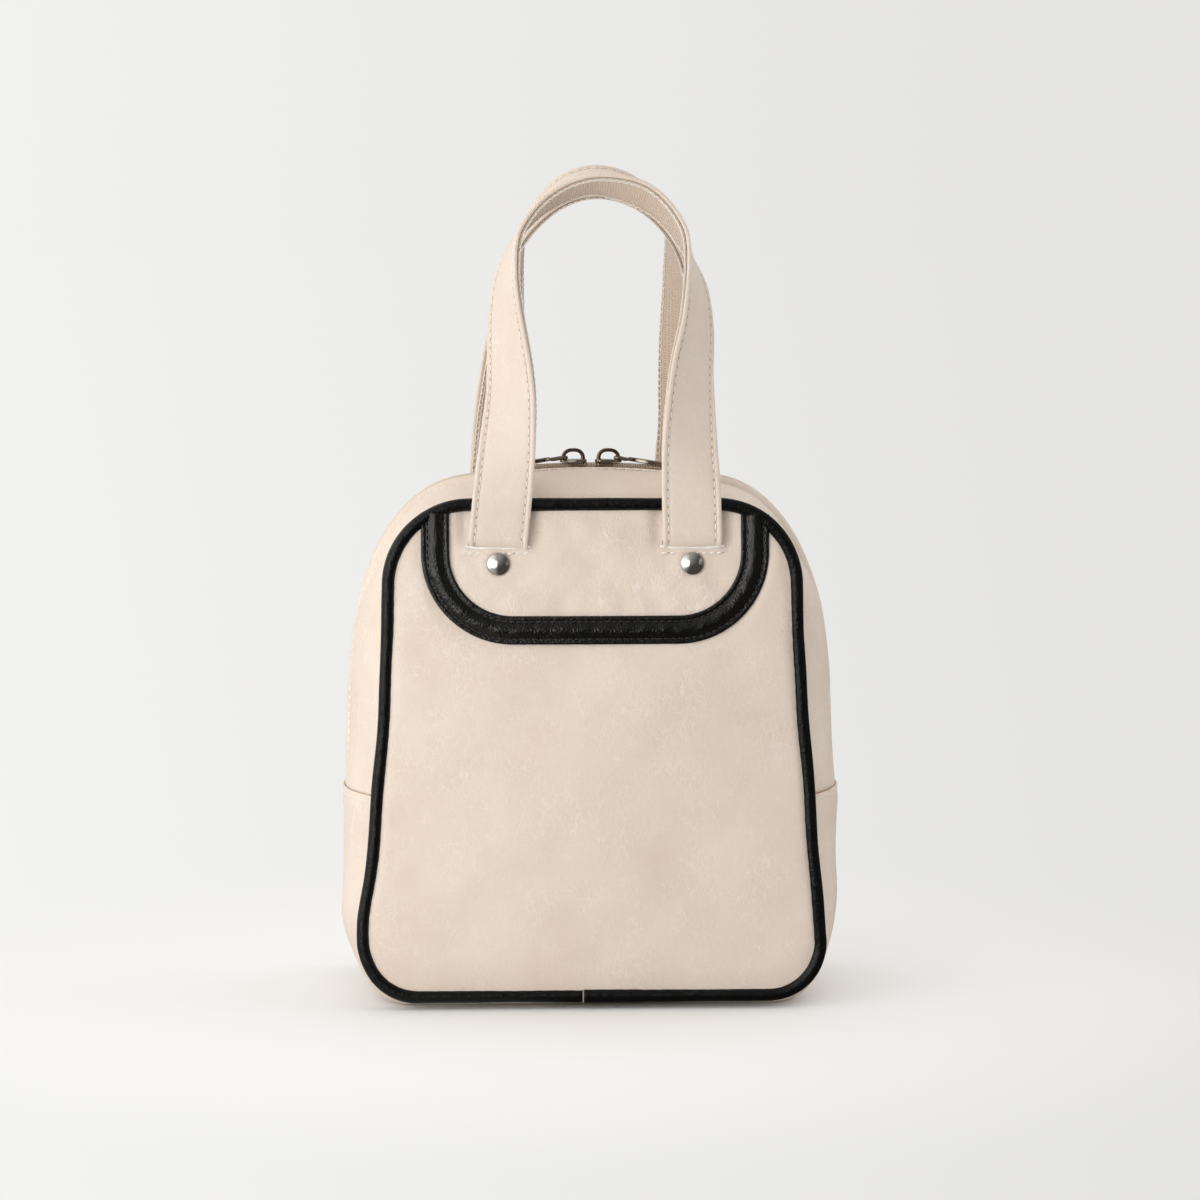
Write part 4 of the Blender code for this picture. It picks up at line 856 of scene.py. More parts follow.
def make_yoke(back):
    cols, rows = 201, 90
    theta = np.linspace(-1, 1, cols) * math.pi / 2
    x = STRAP_SHIFT + np.sin(theta) * (BAND_HALF_SPAN - 0.0002)
    corner = BAND_HALF_SPAN - BAND_CORNER_RADIUS
    beyond = np.clip(np.abs(x - STRAP_SHIFT) - corner, 0, None)
    low = BAND_BOTTOM_Z + BAND_CORNER_RADIUS - np.sqrt(BAND_CORNER_RADIUS ** 2 - beyond ** 2) + 0.0002
    high = top_edge_z(x, SHEET_INSET)
    share = np.linspace(0, 1, rows)[:, None]
    z = low + (high - low) * share
    x = np.broadcast_to(x, z.shape)
    p = face_xyz(x, z)
    raised = np.zeros(z.shape)
    for side in (-1, 1):
        dx = x - strap_x(side, back)
        inside = smooth_step(0.0185, 0.0150, np.abs(dx))
        lip = bell(z, SLOT_Z - 0.0032, 0.0016) * 0.00055
        seam = -bell(z, SLOT_Z - 0.0052, 0.0008) * 0.00025
        raised += inside * (lip + seam)
        away = np.hypot(dx, z - RIVET_Z)
        raised += 0.00030 * (bell(away, 0.0078, 0.0016) - smooth_step(0.0062, 0.0040, away))
        pull = bell(np.abs(dx), 0.0165, 0.004) * smooth_step(0.226, 0.236, z)
        raised -= 0.0017 * pull
    inner = smooth_step(0.0, 0.012, z - low) * smooth_step(0.0, 0.010, high - z)
    upright = hum(p * (1.0, 1.0, 0.38), 0.0150, 17.0 + back)
    waves = 0.00046 * hum(p, 0.030, 11.0 + back) + 0.00018 * hum(p, 0.013, 13.0 + back) + 0.00024 * upright
    p[..., 1] -= raised + inner * waves
    obj = shell(label("front_yoke_leather", back), p, LEATHER, yoke_leather, FORWARD)
    half_height, half_width = STRAP_THICKNESS / 2 + GAP, STRAP_HALF_WIDTH - 0.0002
    for side in (-1, 1):
        bm = bmesh.new()
        bmesh.ops.create_cube(bm, size=1.0, matrix=face_matrix(strap_x(side, back), SLOT_Z)
                              @ Matrix.Diagonal((2 * half_width, 2 * half_height, 0.012, 1.0)))
        cutter = add_object("slot", mesh_of(bm, "slot"))
        cut = obj.modifiers.new("slot", 'BOOLEAN')
        cut.object, cut.solver = cutter, 'EXACT'
        bpy.context.view_layer.update()
        graph = bpy.context.evaluated_depsgraph_get()
        new = bpy.data.meshes.new_from_object(obj.evaluated_get(graph))
        obj.modifiers.clear()
        obj.data = new
        bpy.data.objects.remove(cutter)
    obj.data.set_sharp_from_angle(angle=math.radians(50))
    return obj


def slot_lip(back, side):
    """The pale cut edge of the yoke's leather under the strap."""
    across = np.linspace(-1, 1, 41)
    x = strap_x(side, back) + across * (STRAP_HALF_WIDTH + 0.0009)
    sag = 0.0009 * (1 - across ** 2)
    rings = tube_rings(face_xyz(x, SLOT_Z - 0.0009 - sag, 0.00035), UP, 0.00062, 8)
    return sweep(label("front_%s_slot_edge" % WORD[side], back), rings, raw_edge)


# Half of the band's section: distance from its middle, and height over the face
BAND_HALF = [(0.0, 0.00300), (0.0010, 0.00287), (0.0020, 0.00252), (0.0029, 0.00203), (0.0035, 0.00154),
             (0.0040, 0.00118), (0.0044, 0.00108), (0.0050, 0.00132), (0.0058, 0.00150), (0.0064, 0.00140),
             (0.0069, 0.00100), (0.0070, 0.00060), (0.0067, 0.00015)]


def both_halves(half):
    return [(-q, h) for q, h in half[::-1]] + half[1:]


def make_band(back):
    path = resample(band_path(0.0), 260)
    normal = path_normals(path)
    run = np.linspace(0, 1, len(path))
    rings = []
    for q, h in both_halves(BAND_HALF):
        wave = 1 + 0.04 * np.sin(run * 150 + q * 500) * (h > 0.0015) + 0.03 * np.sin(run * 61)
        at = path + normal * q
        rings.append(face_xyz(at[:, 0], at[:, 1], h * wave))
    return sweep(label("front_band_leather", back), np.stack(rings, 1), black)


def make_band_stitches(back):
    path = resample(band_path(0.0035), 400)
    rows = []
    for q in (-0.0042, 0.0042):
        at = path + path_normals(path) * q
        p = face_xyz(at[:, 0], at[:, 1], 0.00112)
        rows.append(stitch_row("row", p, FORWARD, *BAND_STITCH, black_thread, 0.8))
    return join(label("front_band_stitches", back), rows)


# The piping's cover laps over its own end under the bag
PIPING_JOIN_X = -0.0052


def make_piping(back):
    """A round cord cover with its join and lapped end under the bag's middle."""
    loop = resample(FACE_LOOP, 900, closed=True)
    start = int(np.argmin(np.hypot(loop[:, 0] - PIPING_JOIN_X, loop[:, 1] - PIPING_BOTTOM_Z)))
    loop = np.roll(loop, -start, 0)
    p = np.stack([loop[:, 0], -half_depth(loop[:, 1]), loop[:, 1]], -1)
    p = settle(p, back)
    run = np.arange(len(p)) / len(p) * path_length(p)
    grow = 0.00026 * smooth_step(0.034, 0.024, run)
    uneven = 0.00007 * np.sin(run / 0.017) + 0.00005 * np.sin(run / 0.0061 + 1.0)
    out = unit(outward_from(p))
    p[-1] = p[0] - (p[1] - p[0]) * 0.3
    rings = tube_rings(p, out, 0.00325 + grow + uneven, 20)
    return sweep(label("front_piping_cover", back), rings, piping_leather)


def make_piping_end(back):
    """The cut edge of the piping's lapped end."""
    y, z = -half_depth(PIPING_BOTTOM_Z), PIPING_BOTTOM_Z
    p = settle([(PIPING_JOIN_X - 0.0003, y, z), (PIPING_JOIN_X + 0.0003, y, z)], back)
    return sweep(label("front_piping_cut_edge", back), tube_rings(p, UP, 0.00358, 24), grey_edge)


# Gussets, zip and lining

def gusset_ripple(p, lines, y, back):
    """Small puckers near the piping and broad soft dents over the gusset."""
    run = runs(FACE_LOOP[lines])
    near = bell(gusset_depth(lines) - np.abs(y), 0.003, 0.0045)
    return (0.00022 * near * (np.sin(run / 0.0052 * 2 * math.pi + 1.5 * np.sin(run / 0.027))
                              + 0.6 * np.sin(run / 0.0029 * 2 * math.pi))
            + 0.00030 * hum(p, 0.045, 21.0 + back))


# Thickness of the gusset's sheet here, and how far the zip's stitches run from its edge
GUSSET_SHEET, ZIP_STITCH_INSET = 0.0012, 0.0034
# Rows of points from the zip, or from the middle underneath, to the piping, closer where the sheet bends
ZIP_GUSSET_SHARES = (0.0, 0.012, 0.025, 0.04, 0.055, 0.07, 0.09, 0.12, 0.16, 0.21, 0.27, 0.33, 0.40, 0.47,
                     0.54, 0.61, 0.68, 0.74, 0.80, 0.845, 0.885, 0.92, 0.95, 0.975, 1.0, 1.03, 1.055)
BOTTOM_SHARES = (0.0, 0.12, 0.24, 0.36, 0.47, 0.57, 0.66, 0.74, 0.80, 0.85, 0.89, 0.925, 0.955, 0.98, 1.0,
                 1.03, 1.055)


def make_zip_gusset(back):
    """The strip beside the zip, whose lower ends go down behind the bottom gusset."""
    lines = UPPER
    depth = gusset_depth(lines)
    ys, inward = [], []
    opening = ZIP_OPENING + 0.0007
    middle = 1 - smooth_step(0.034, 0.060, np.abs(RIDGE_LOOP[lines, 0]))
    for share in ZIP_GUSSET_SHARES:
        y = opening + share * (depth - opening)
        ys.append(-y)
        channel = 0.00040 * bell(y - ZIP_OPENING, ZIP_STITCH_INSET, 0.0008)
        droop = 0.00110 * middle * bell(y, ZIP_OPENING, 0.0050)
        rise = 0.00040 * bell(y, ZIP_OPENING, 0.0025)
        seam = 0.0011 * bell(share, 0.972, 0.034)
        inward.append(seam + channel + droop - rise + 0.0012 * smooth_step(1.0, 1.06, share))
    p = gusset_rows(lines, ys, inward)
    for k, y in enumerate(ys):
        ripple = gusset_ripple(p[k], lines, y, back)
        ripple = ripple * smooth_step(ZIP_OPENING, ZIP_OPENING + 0.006, -np.asarray(y))
        p[k] += ridge_directions(lines) * np.reshape(ripple, (-1, 1))
    drop = np.linspace(6, 1, 6)[:, None] * np.array([0, 0, -0.001])
    p = np.concatenate([p[:, :1] + drop, p, p[:, -1:] + drop[::-1]], 1)
    name = label("front_zip_gusset_leather", back)
    return shell(name, settle(p, back), GUSSET_SHEET, leather, outward_from(p))


def make_zip_stitches(back, holes=False):
    lines = UPPER
    p = settle(gusset_rows(lines, [np.full(len(lines), -(ZIP_OPENING + ZIP_STITCH_INSET))], 0.00085)[0], back)
    normal = ridge_directions(lines)
    name = label("front_zip_gusset_needle_holes" if holes else "front_zip_gusset_stitches", back)
    # With holes, dark brown tubes sunk into the sheet paint the shade in the needle holes between the stitches.
    if holes:
        return stitch_row(name, p, normal, *ZIP_HOLE, painted_shade_brown, -0.50, shift=0.5)
    return stitch_row(name, p, normal, *ZIP_STITCH, white_thread, 0.8, 0.0010)


def make_bottom_gusset():
    lines = LOWER
    depth = gusset_depth(lines)
    shares = [-s for s in BOTTOM_SHARES[:0:-1]] + list(BOTTOM_SHARES)
    ys = [s * depth for s in shares]
    below = GUSSET_SEAM_Z - RIDGE_LOOP[lines, 1]
    rise = 0.00095 * smooth_step(0.018, 0.004, below) + 0.00045 * bell(below, 0.0008, 0.0010)
    under = FLAT[lines]
    inward = [0.0012 * smooth_step(1.0, 1.06, abs(s))
              + 0.0011 * (1 - under) * bell(abs(s), 0.972, 0.034)
              - 0.0012 * under * bell(abs(s), 0.945, 0.040) - rise for s in shares]
    p = gusset_rows(lines, ys, inward)
    channel = -0.00025 * bell(below, 0.0024, 0.0007)
    for k, y in enumerate(ys):
        ripple = gusset_ripple(p[k], lines, y, 0) * smooth_step(0.006, 0.030, p[k][:, 2])
        p[k] += ridge_directions(lines) * (ripple + channel)[:, None]
    p = sway(p)
    p[..., 2] = np.maximum(p[..., 2], 0.0)
    return shell("bottom_gusset_leather", p, GUSSET_SHEET, leather, outward_from(p))


def seam_row(end, reach, count, inward):
    """Points across the bottom gusset along one of its two upper ends."""
    lines = LOWER[[end]]
    y = np.linspace(-reach, reach, count) * float(gusset_depth(lines)[0])
    return np.array([gusset_rows(lines, [np.array([v])], inward)[0][0] for v in y])


def make_bottom_stitches():
    rows = []
    for end, sense in ((0, -1.0), (-1, 1.0)):
        p = seam_row(end, 0.97, 60, -0.0009)
        p[:, 2] -= 0.0024
        rows.append(stitch_row("row", sway(p), (sense, 0.0, 0.0), *BOTTOM_STITCH, cream_thread, 0.5))
    return join("bottom_gusset_stitches", rows)


def make_seam_shade_lines():
    """A dark brown tube in the gap under the folded upper edge of the bottom gusset, low on each side: painted
    shade in that gap.
    """
    edges = []
    for end in (0, -1):
        p = seam_row(end, 0.99, 90, -0.0004)
        p[:, 2] += 0.00035
        edges.append(sweep("edge", tube_rings(sway(p), UP, 0.00048, 8), painted_shade_brown))
    return join("bottom_gusset_seam_shade_line", edges)


def make_tape(back):
    ys = [np.full(len(UPPER), -y) for y in np.linspace(0.0006, 0.0138, 8)]
    p = gusset_rows(UPPER, ys, -TAPE_TOP)
    return shell(label("front_zip_tape_cloth", back), settle(p, back), 0.0005, tape_cloth, outward_from(p))


COIL_PITCH = 0.00130
# One turn of the coil from under the tape's edge to the middle: place across, height, and thickness
COIL_Y = np.array([-0.0031, -0.0028, -0.0022, -0.0012, -0.0004, 0.0002, 0.0004])
COIL_RISE = np.array([-0.0007, 0.0000, 0.0005, 0.0006, 0.0005, -0.0001, -0.0007])
COIL_RADIUS = np.array([0.00030, 0.00036, 0.00038, 0.00038, 0.00040, 0.00038, 0.00032])


def make_coil(back):
    """The coil's turns: rounded bars across the tape, half a pitch apart from those of the other side."""
    path, normal = RIDGE_LOOP[UPPER], RIDGE_NORMALS[UPPER]
    run = runs(path)
    length = path_length(path)
    count = int(length / COIL_PITCH)
    bars, sides, turn = len(COIL_Y), 6, -1 if back else 1
    verts, faces = [], []
    lean = np.linspace(-0.00022, 0.00022, bars)
    for i in range(count):
        where = (i + (0.75 if back else 0.25)) * length / count + lean * turn
        at = at_run(where, run, path) * np.array([turn, 1])
        n = unit(at_run(where, run, normal)) * np.array([turn, 1])
        low = 0.0009 * smooth_step(0.034, 0.060, np.abs(at[:, 0]))
        at = at + n * (COIL_RISE - low)[:, None]
        p = np.stack([at[:, 0], COIL_Y, at[:, 1]], -1)
        upright = np.stack([n[:, 0], np.zeros(bars), n[:, 1]], -1)
        faces += ring_faces(bars, sides, first=i * bars * sides)
        verts.append(tube_rings(p, upright, COIL_RADIUS, sides).reshape(-1, 3))
    return mesh_object(label("front_zip_coil_turns", back), np.concatenate(verts), faces, coil_nylon)


def make_lining(back):
    lines = np.arange(COUNT)
    depth = gusset_depth(lines)
    on_tape = (lines >= SEAM) & (lines <= COUNT - SEAM)
    start = np.where(on_tape, 0.0145, 0.0004)
    inward = 0.0020 + FLAT * 0.0026
    rings = []
    for share in (0.0, 0.12, 0.25, 0.40, 0.55, 0.68, 0.80, 0.90):
        y = -(start + share * (depth - start))
        rings.append(gusset_rows(lines, [y], [inward])[0])
    inset = FACE_LOOP - loop_normals(FACE_LOOP) * 0.010
    middle = np.array([0, (PIPING_BOTTOM_Z + PIPING_TOP_Z) / 2])
    for share in (1.0, 0.8, 0.55, 0.3, 0.1, 0.02):
        flat = middle + (inset - middle) * share
        rings.append(face_xyz(flat[:, 0], flat[:, 1], -0.0085))
    p = np.array(rings)[:, ::3]
    p = np.concatenate([p, p[:, :1]], 1)
    return shell(label("front_lining_cloth", back), settle(p, back), 0.0005, lining_cloth, p - BAG_MIDDLE)


def make_board():
    low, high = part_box("base_board")
    bm = bmesh.new()
    bmesh.ops.create_cube(bm, size=1.0, matrix=Matrix.Translation((low + high) / 2)
                          @ Matrix.Diagonal((*(high - low), 1.0)))
    upright = [e for e in bm.edges if abs(e.verts[0].co.z - e.verts[1].co.z) > 0.001]
    bmesh.ops.bevel(bm, geom=upright, offset=0.012, segments=8, profile=0.5, affect='EDGES')
    flat = [e for e in bm.edges if e.calc_face_angle(0) > 1.0]
    bmesh.ops.bevel(bm, geom=flat, offset=0.0003, segments=2, profile=0.5, affect='EDGES')
    mesh = mesh_of(bm, "base_board_paper")
    mesh.materials.append(board)
    mesh.shade_smooth()
    mesh.set_sharp_from_angle(angle=math.radians(40))
    return add_object("base_board_paper", mesh)


# Handles

# Each strap's middle line as seen from the front: across, and height above the fold, in millimetres
FRONT_BOW = ((-46.8, 0), (-44.8, 19), (-41.9, 47), (-40.3, 74), (-42.6, 109), (-41.9, 129), (-36.8, 147),
             (-24.5, 162), (-8.5, 171), (7, 173.1), (28.3, 166.6), (43.6, 151), (51.2, 129), (52.2, 105),
             (49.2, 80), (47.9, 47), (48.4, 28), (49.2, 0))
BACK_BOW = ((-49.2, 0), (-50.6, 32), (-51.2, 52), (-49, 86), (-47, 122), (-42.4, 148.2), (-25.4, 168),
            (-2.7, 174.2), (18.5, 165.3), (35.5, 140), (41.4, 97), (43.6, 62), (45.2, 20), (46.8, 0))
# How far a strap has turned its face outwards at each height, in degrees
TWIST = ((0, 0), (14, 0.5), (28, 8), (47, 20.5), (74, 38.5), (107, 57.5), (128, 70), (147, 83), (170, 90))
# Where the straps start to lean towards the middle, over what height, how far, and how gradually
BEND_START, BEND_REACH = 0.016, 0.1586
FRONT_BEND, BACK_BEND = (0.0360, 1.25), (0.0387, 2.37)
# The front strap shows more of its underside at the right shoulder, in degrees
FRONT_ROLL = 9.0
# Points along each strap's bow, and along each of its sewn ends
BOW_STEPS, END_STEPS = 300, 34


def smooth_curve(points, count):
    """A rounded path through points in millimetres, as evenly spaced points in metres."""
    p = np.array(points, float) / 1000
    p = np.concatenate([[2 * p[0] - p[1]], p, [2 * p[-1] - p[-2]]])
    t = np.linspace(0, 1, 13)[:-1, None]
    out = []
    for a, b, c, d in zip(p, p[1:], p[2:], p[3:]):
        out.append(0.5 * (2 * b + (c - a) * t + (2 * a - 5 * b + 4 * c - d) * t ** 2
                          + (3 * b - a - 3 * c + d) * t ** 3))
    return resample(np.concatenate(out + [p[-2:-1]]), count)


def handle_frames(bow, bend, shift, lean_in=0.0):
    """Centre, face direction and direction across along the whole strap, with its sewn ends."""
    flat = smooth_curve(bow, BOW_STEPS + 1)
    x, rise = flat[:, 0], flat[:, 1]
    beyond = np.maximum(rise - BEND_START, 0) / BEND_REACH
    deep, power = bend
    lean = np.arctan(deep * power / BEND_REACH * beyond ** (power - 1))
    centre = np.stack([x, -STRAP_PLANE_Y + deep * beyond ** power, HINGE_Z + rise], -1)
    t = tangents(centre)
    front = np.stack([np.zeros(len(x)), -np.cos(lean), np.sin(lean)], -1)
    front = unit(front - t * np.sum(front * t, -1, keepdims=True))
    out = np.cross(front, t)
    table = np.array(TWIST, float)
    roll = lean_in * smooth_step(0.120, 0.150, rise) * smooth_step(-0.005, 0.030, x)
    twist = np.radians(np.interp(rise * 1000, table[:, 0], table[:, 1]) + roll)[:, None]
    face = unit(front * np.cos(twist) + out * np.sin(twist))
    across = np.cross(t, face)
    ends = []
    behind = float(face_xyz(HANDLE_HALF_SPAN, SLOT_Z)[1]) + STRAP_DEPTH
    pts = [(behind + 0.0004, SLOT_Z - 0.0235), (behind + 0.0001, SLOT_Z - 0.0150), (behind, SLOT_Z - 0.0060)]
    pts += [(lerp(behind, -STRAP_PLANE_Y, s), SLOT_Z + dz) for s, dz in
            ((0.06, -0.0036), (0.20, -0.0022), (0.42, -0.0010), (0.66, 0.0), (0.86, 0.0010), (0.97, 0.0021))]
    pts.append((-STRAP_PLANE_Y, HINGE_Z))
    for side in (-1, 1):
        foot = side * HANDLE_HALF_SPAN + shift
        path = resample([(foot, y, z) for y, z in pts], END_STEPS)
        up = tangents(path)[:-1]
        path = path[:-1]
        f = unit(np.cross(np.broadcast_to((-1.0, 0, 0), up.shape), up))
        f = np.where(f[:, 1:2] > 0, -f, f)
        ends.append((path, f, np.broadcast_to(across[0 if side < 0 else -1], up.shape)))
    centre, face, across = (np.concatenate([left, middle, right[::-1]])
                            for left, middle, right in zip(ends[0], (centre, face, across), ends[1]))
    return centre, unit(face), unit(across)


HANDLES = {False: handle_frames(FRONT_BOW, FRONT_BEND, STRAP_SHIFT, FRONT_ROLL),
           True: handle_frames(BACK_BOW, BACK_BEND, -STRAP_SHIFT)}


def handle_points(back, q, h):
    centre, face, across = HANDLES[back]
    return centre + face * h + across * q


def handle_run(back):
    """Distance along the strap's middle at each of its frames."""
    return runs(HANDLES[back][0])


def handle_sweep(name, back, section, material):
    """The section along the whole strap, with a UV of the places across and along it in metres."""
    rings = np.stack([handle_points(back, q, h) for q, h in section], 1)
    count = len(section)
    obj = mesh_object(name, rings.reshape(-1, 3), ring_faces(len(rings), count), material, weld=False)
    run = handle_run(back)
    layer = obj.data.uv_layers.new(name="UVMap")
    for loop in obj.data.loops:
        v = loop.vertex_index
        layer.data[loop.index].uv = (section[v % count][0], run[v // count])
    return obj


# Halves of the strap's and the webbing's sections: place across, and height
STRAP_HALF = [(0.0, 0.00172), (0.0030, 0.00170), (0.0060, 0.00165), (0.0085, 0.00158), (0.0100, 0.00149),
              (0.0107, 0.00138), (0.0112, 0.00122), (0.0116, 0.00114), (0.0120, 0.00124), (0.0125, 0.00158),
              (0.0131, 0.00184), (0.0137, 0.00184), (0.0143, 0.00152), (0.0147, 0.00096), (0.0147, 0.00030),
              (0.0143, -0.00018), (0.0137, -0.00042), (0.0129, -0.00045), (0.0122, -0.00020), (0.0117, 0.00015)]
STRAP_SECTION = both_halves(STRAP_HALF)
WEB_HALF = [(0.0, -0.00165), (0.0035, -0.00165), (0.0070, -0.00163), (0.0100, -0.00160), (0.0125, -0.00152),
            (0.0136, -0.00132), (0.0140, -0.00100), (0.0137, -0.00066), (0.0126, -0.00050), (0.0100, -0.00006)]
WEB_SECTION = [(-q, h) for q, h in WEB_HALF[:0:-1]] + WEB_HALF + [(0.0, -0.00005)]


def handle_stitches(name, back, q, h):
    """Rows of single stitches near both edges of the strap's face."""
    return join(name, [stitch_row("row", handle_points(back, side * q, h), HANDLES[back][1], *STRAP_STITCH,
                                  cream_thread, 0.55, run=handle_run(back), skip=6) for side in (-1, 1)])


def handle_chains(name, back, q, h):
    """Chain stitches on the webbing: flat loops that overlap, one after the other."""
    sewn = slice(END_STEPS, -END_STEPS)
    _, face, across = HANDLES[back]
    turn = np.linspace(0, 2 * math.pi, 17)[:-1]
    steps, sides = len(turn), 6
    verts, faces = [], []
    for side in (-1, 1):
        path = handle_points(back, side * q, h)[sewn]
        run = runs(path)
        for i in range(int(run[-1] / CHAIN_PITCH)):
            where = (i + 0.5) * CHAIN_PITCH + 0.62 * CHAIN_PITCH * np.cos(turn)
            n, w = unit(at_run(where, run, -face[sewn])), unit(at_run(where, run, across[sewn]))
            rise = 0.00012 * np.cos(turn) + 0.00018
            p = at_run(where, run, path) + w * (0.00090 * np.sin(turn))[:, None] + n * rise[:, None]
            base = len(verts) * steps * sides
            verts.append(tube_rings(p, n, 0.00030, sides, closed=True).reshape(-1, 3))
            for r in range(steps):
                one, two = base + r * sides, base + (r + 1) % steps * sides
                faces += [(one + c, one + (c + 1) % sides, two + (c + 1) % sides, two + c)
                          for c in range(sides)]
    return mesh_object(name, np.concatenate(verts), faces, cream_thread)


def make_handle(back):
    front = "back" if back else "front"
    made = [(handle_sweep(front + "_handle_strap", back, STRAP_SECTION, strap_leather),
             [front + end for end in ("_handle_leather", "_left_strap_end", "_right_strap_end")],
             "beige_leather"),
            (handle_sweep(front + "_handle_web", back, WEB_SECTION, webbing),
             [front + "_handle_webbing"], "webbing"),
            (handle_stitches(front + "_handle_top_stitches", back, STITCH_LINE, 0.00122), [], "beige_leather"),
            (handle_chains(front + "_handle_under_stitches", back, 0.0129, -0.00155), [], "webbing")]
    for obj, nodes, slot in made:
        if back:
            obj.data.transform(half_turn)
        if nodes:
            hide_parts(*nodes)
        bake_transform(obj)


# Metal parts

def lathe(name, profile, matrix, material, steps):
    a = circle(steps)
    rings = [np.stack([r * np.cos(a), r * np.sin(a), np.full(steps, z)], -1) for r, z in profile]
    obj = sweep(name, rings, material)
    obj.data.transform(matrix)
    return obj


def squared(value, power):
    """A sine or cosine whose circle is pressed towards a square."""
    return np.copysign(np.abs(value) ** power, value)


def make_rivet(back, side):
    """The cap: a low dome with a rolled rim, and its post."""
    r, post, rim = RIVET_CAP_RADIUS, 0.0015, 0.00128
    profile = [(0.0002, -0.0060), (post, -0.0060), (post, 0.0001), (r - 0.0008, 0.00005), (r - 0.0002, 0.0002),
               (r, 0.0006), (r - 0.0002, 0.00100), (r - 0.0007, rim)]
    for k in range(1, 13):
        s = 1 - k / 12
        profile.append(((r - 0.0009) * s + 0.00005, rim + 0.00150 * (1 - s ** 2.1)))
    name = label("front_%s_rivet_dome" % WORD[side], back)
    return lathe(name, profile, face_matrix(strap_x(side, back), RIVET_Z), nickel, 56)


# How far the sliders stand above the place that their solids have, and the right one outwards
SLIDER_LIFT, RIGHT_SLIDER_SHIFT = 0.0007, 0.0017


def on_arch(side, along, lift):
    """The place of a slider on the zip's top arch, with its tail outwards."""
    angle = side * math.asin(along / ZIP_ARCH_RADIUS)
    spot = (Matrix.Translation((0, 0, ARCH_CENTRE_Z)) @ Matrix.Rotation(angle, 4, 'Y')
            @ Matrix.Translation((0, 0, ZIP_ARCH_RADIUS + lift)))
    return spot @ half_turn if side < 0 else spot


def slider_matrix(side):
    return on_arch(side, SLIDER_REST_X + (RIGHT_SLIDER_SHIFT if side > 0 else 0.0), SLIDER_LIFT)


def pull_matrix(side):
    """The place that the pull's solids have, so that it turns about its pin."""
    return on_arch(side, SLIDER_REST_X, 0.0)


def plate(outline, low, high, edge, steps=3):
    """A flat piece with rounded edges from its outline: a bmesh."""
    bm = bmesh.new()
    face = bm.faces.new([bm.verts.new((x, y, low)) for x, y in outline])
    out = bmesh.ops.extrude_face_region(bm, geom=[face])
    top = [v for v in out["geom"] if isinstance(v, bmesh.types.BMVert)]
    bmesh.ops.translate(bm, vec=(0, 0, high - low), verts=top)
    bmesh.ops.recalc_face_normals(bm, faces=bm.faces)
    rims = [e for e in bm.edges if abs(e.verts[0].co.z - e.verts[1].co.z) < 1e-7]
    bmesh.ops.bevel(bm, geom=rims, offset=edge, segments=steps, profile=0.5, affect='EDGES', clamp_overlap=True)
    return bm


def bm_object(name, parts, material, matrix):
    """One object from several bmeshes, with its sharp edges kept."""
    bm = bmesh.new()
    for part in parts:
        mesh = mesh_of(part, "part")
        bm.from_mesh(mesh)
        bpy.data.meshes.remove(mesh)
    mesh = mesh_of(bm, name)
    mesh.materials.append(material)
    mesh.shade_smooth()
    mesh.set_sharp_from_angle(angle=math.radians(35))
    mesh.transform(matrix)
    return add_object(name, mesh)


def slider_outline(half, wide):
    """Broad round nose towards the other slider, drawn in towards the tail."""
    top = [(-half, 0.0), (-half, wide * 0.55), (-half + 0.0008, wide * 0.86), (-half + 0.0022, wide),
           (-half * 0.25, wide), (half * 0.35, wide * 0.86), (half - 0.0012, wide * 0.72),
           (half - 0.0003, wide * 0.5), (half, 0.0)]
    dense = resample(np.array(top), 22)
    return [tuple(p) for p in dense[:-1]] + [(x, -y) for x, y in dense[:0:-1]]


def make_slider(side):
    """Two plates, a flange on each side, the bridge between them, and a pad under each foot of the crown."""
    half, wide = SLIDER_LENGTH / 2, SLIDER_HALF_WIDTH
    parts = [plate(slider_outline(half, wide), DECK_LOW, DECK_HIGH, 0.00035),
             plate(slider_outline(half, wide), FOOT_LOW, FOOT_HIGH, 0.0003)]
    for sense in (-1, 1):
        y0, y1 = sense * (wide - 0.0009), sense * wide
        parts.append(plate([(-half + 0.0022, y0), (half * 0.30, y0 * 0.90), (half * 0.30, y1 * 0.90),
                            (-half + 0.0022, y1)], TAPE_TOP + 0.0004, DECK_LOW + 0.0004, 0.0002, 2))
    parts.append(plate([(-half, -0.0006), (-half + 0.0045, -0.0002), (-half + 0.0045, 0.0002), (-half, 0.0006)],
                       FOOT_HIGH - 0.0004, DECK_LOW + 0.0004, 0.0001, 1))
    for x in (-CROWN_LENGTH / 2 + 0.0009, CROWN_LENGTH / 2 - 0.0009):
        pad = [(x + 0.0013 * math.cos(a), 0.0017 * math.sin(a)) for a in circle(20)]
        parts.append(plate(pad, DECK_HIGH - 0.0003, DECK_HIGH + 0.0004, 0.0002, 2))
    return bm_object(WORD[side] + "_slider_body", parts, dark_nickel, slider_matrix(side))


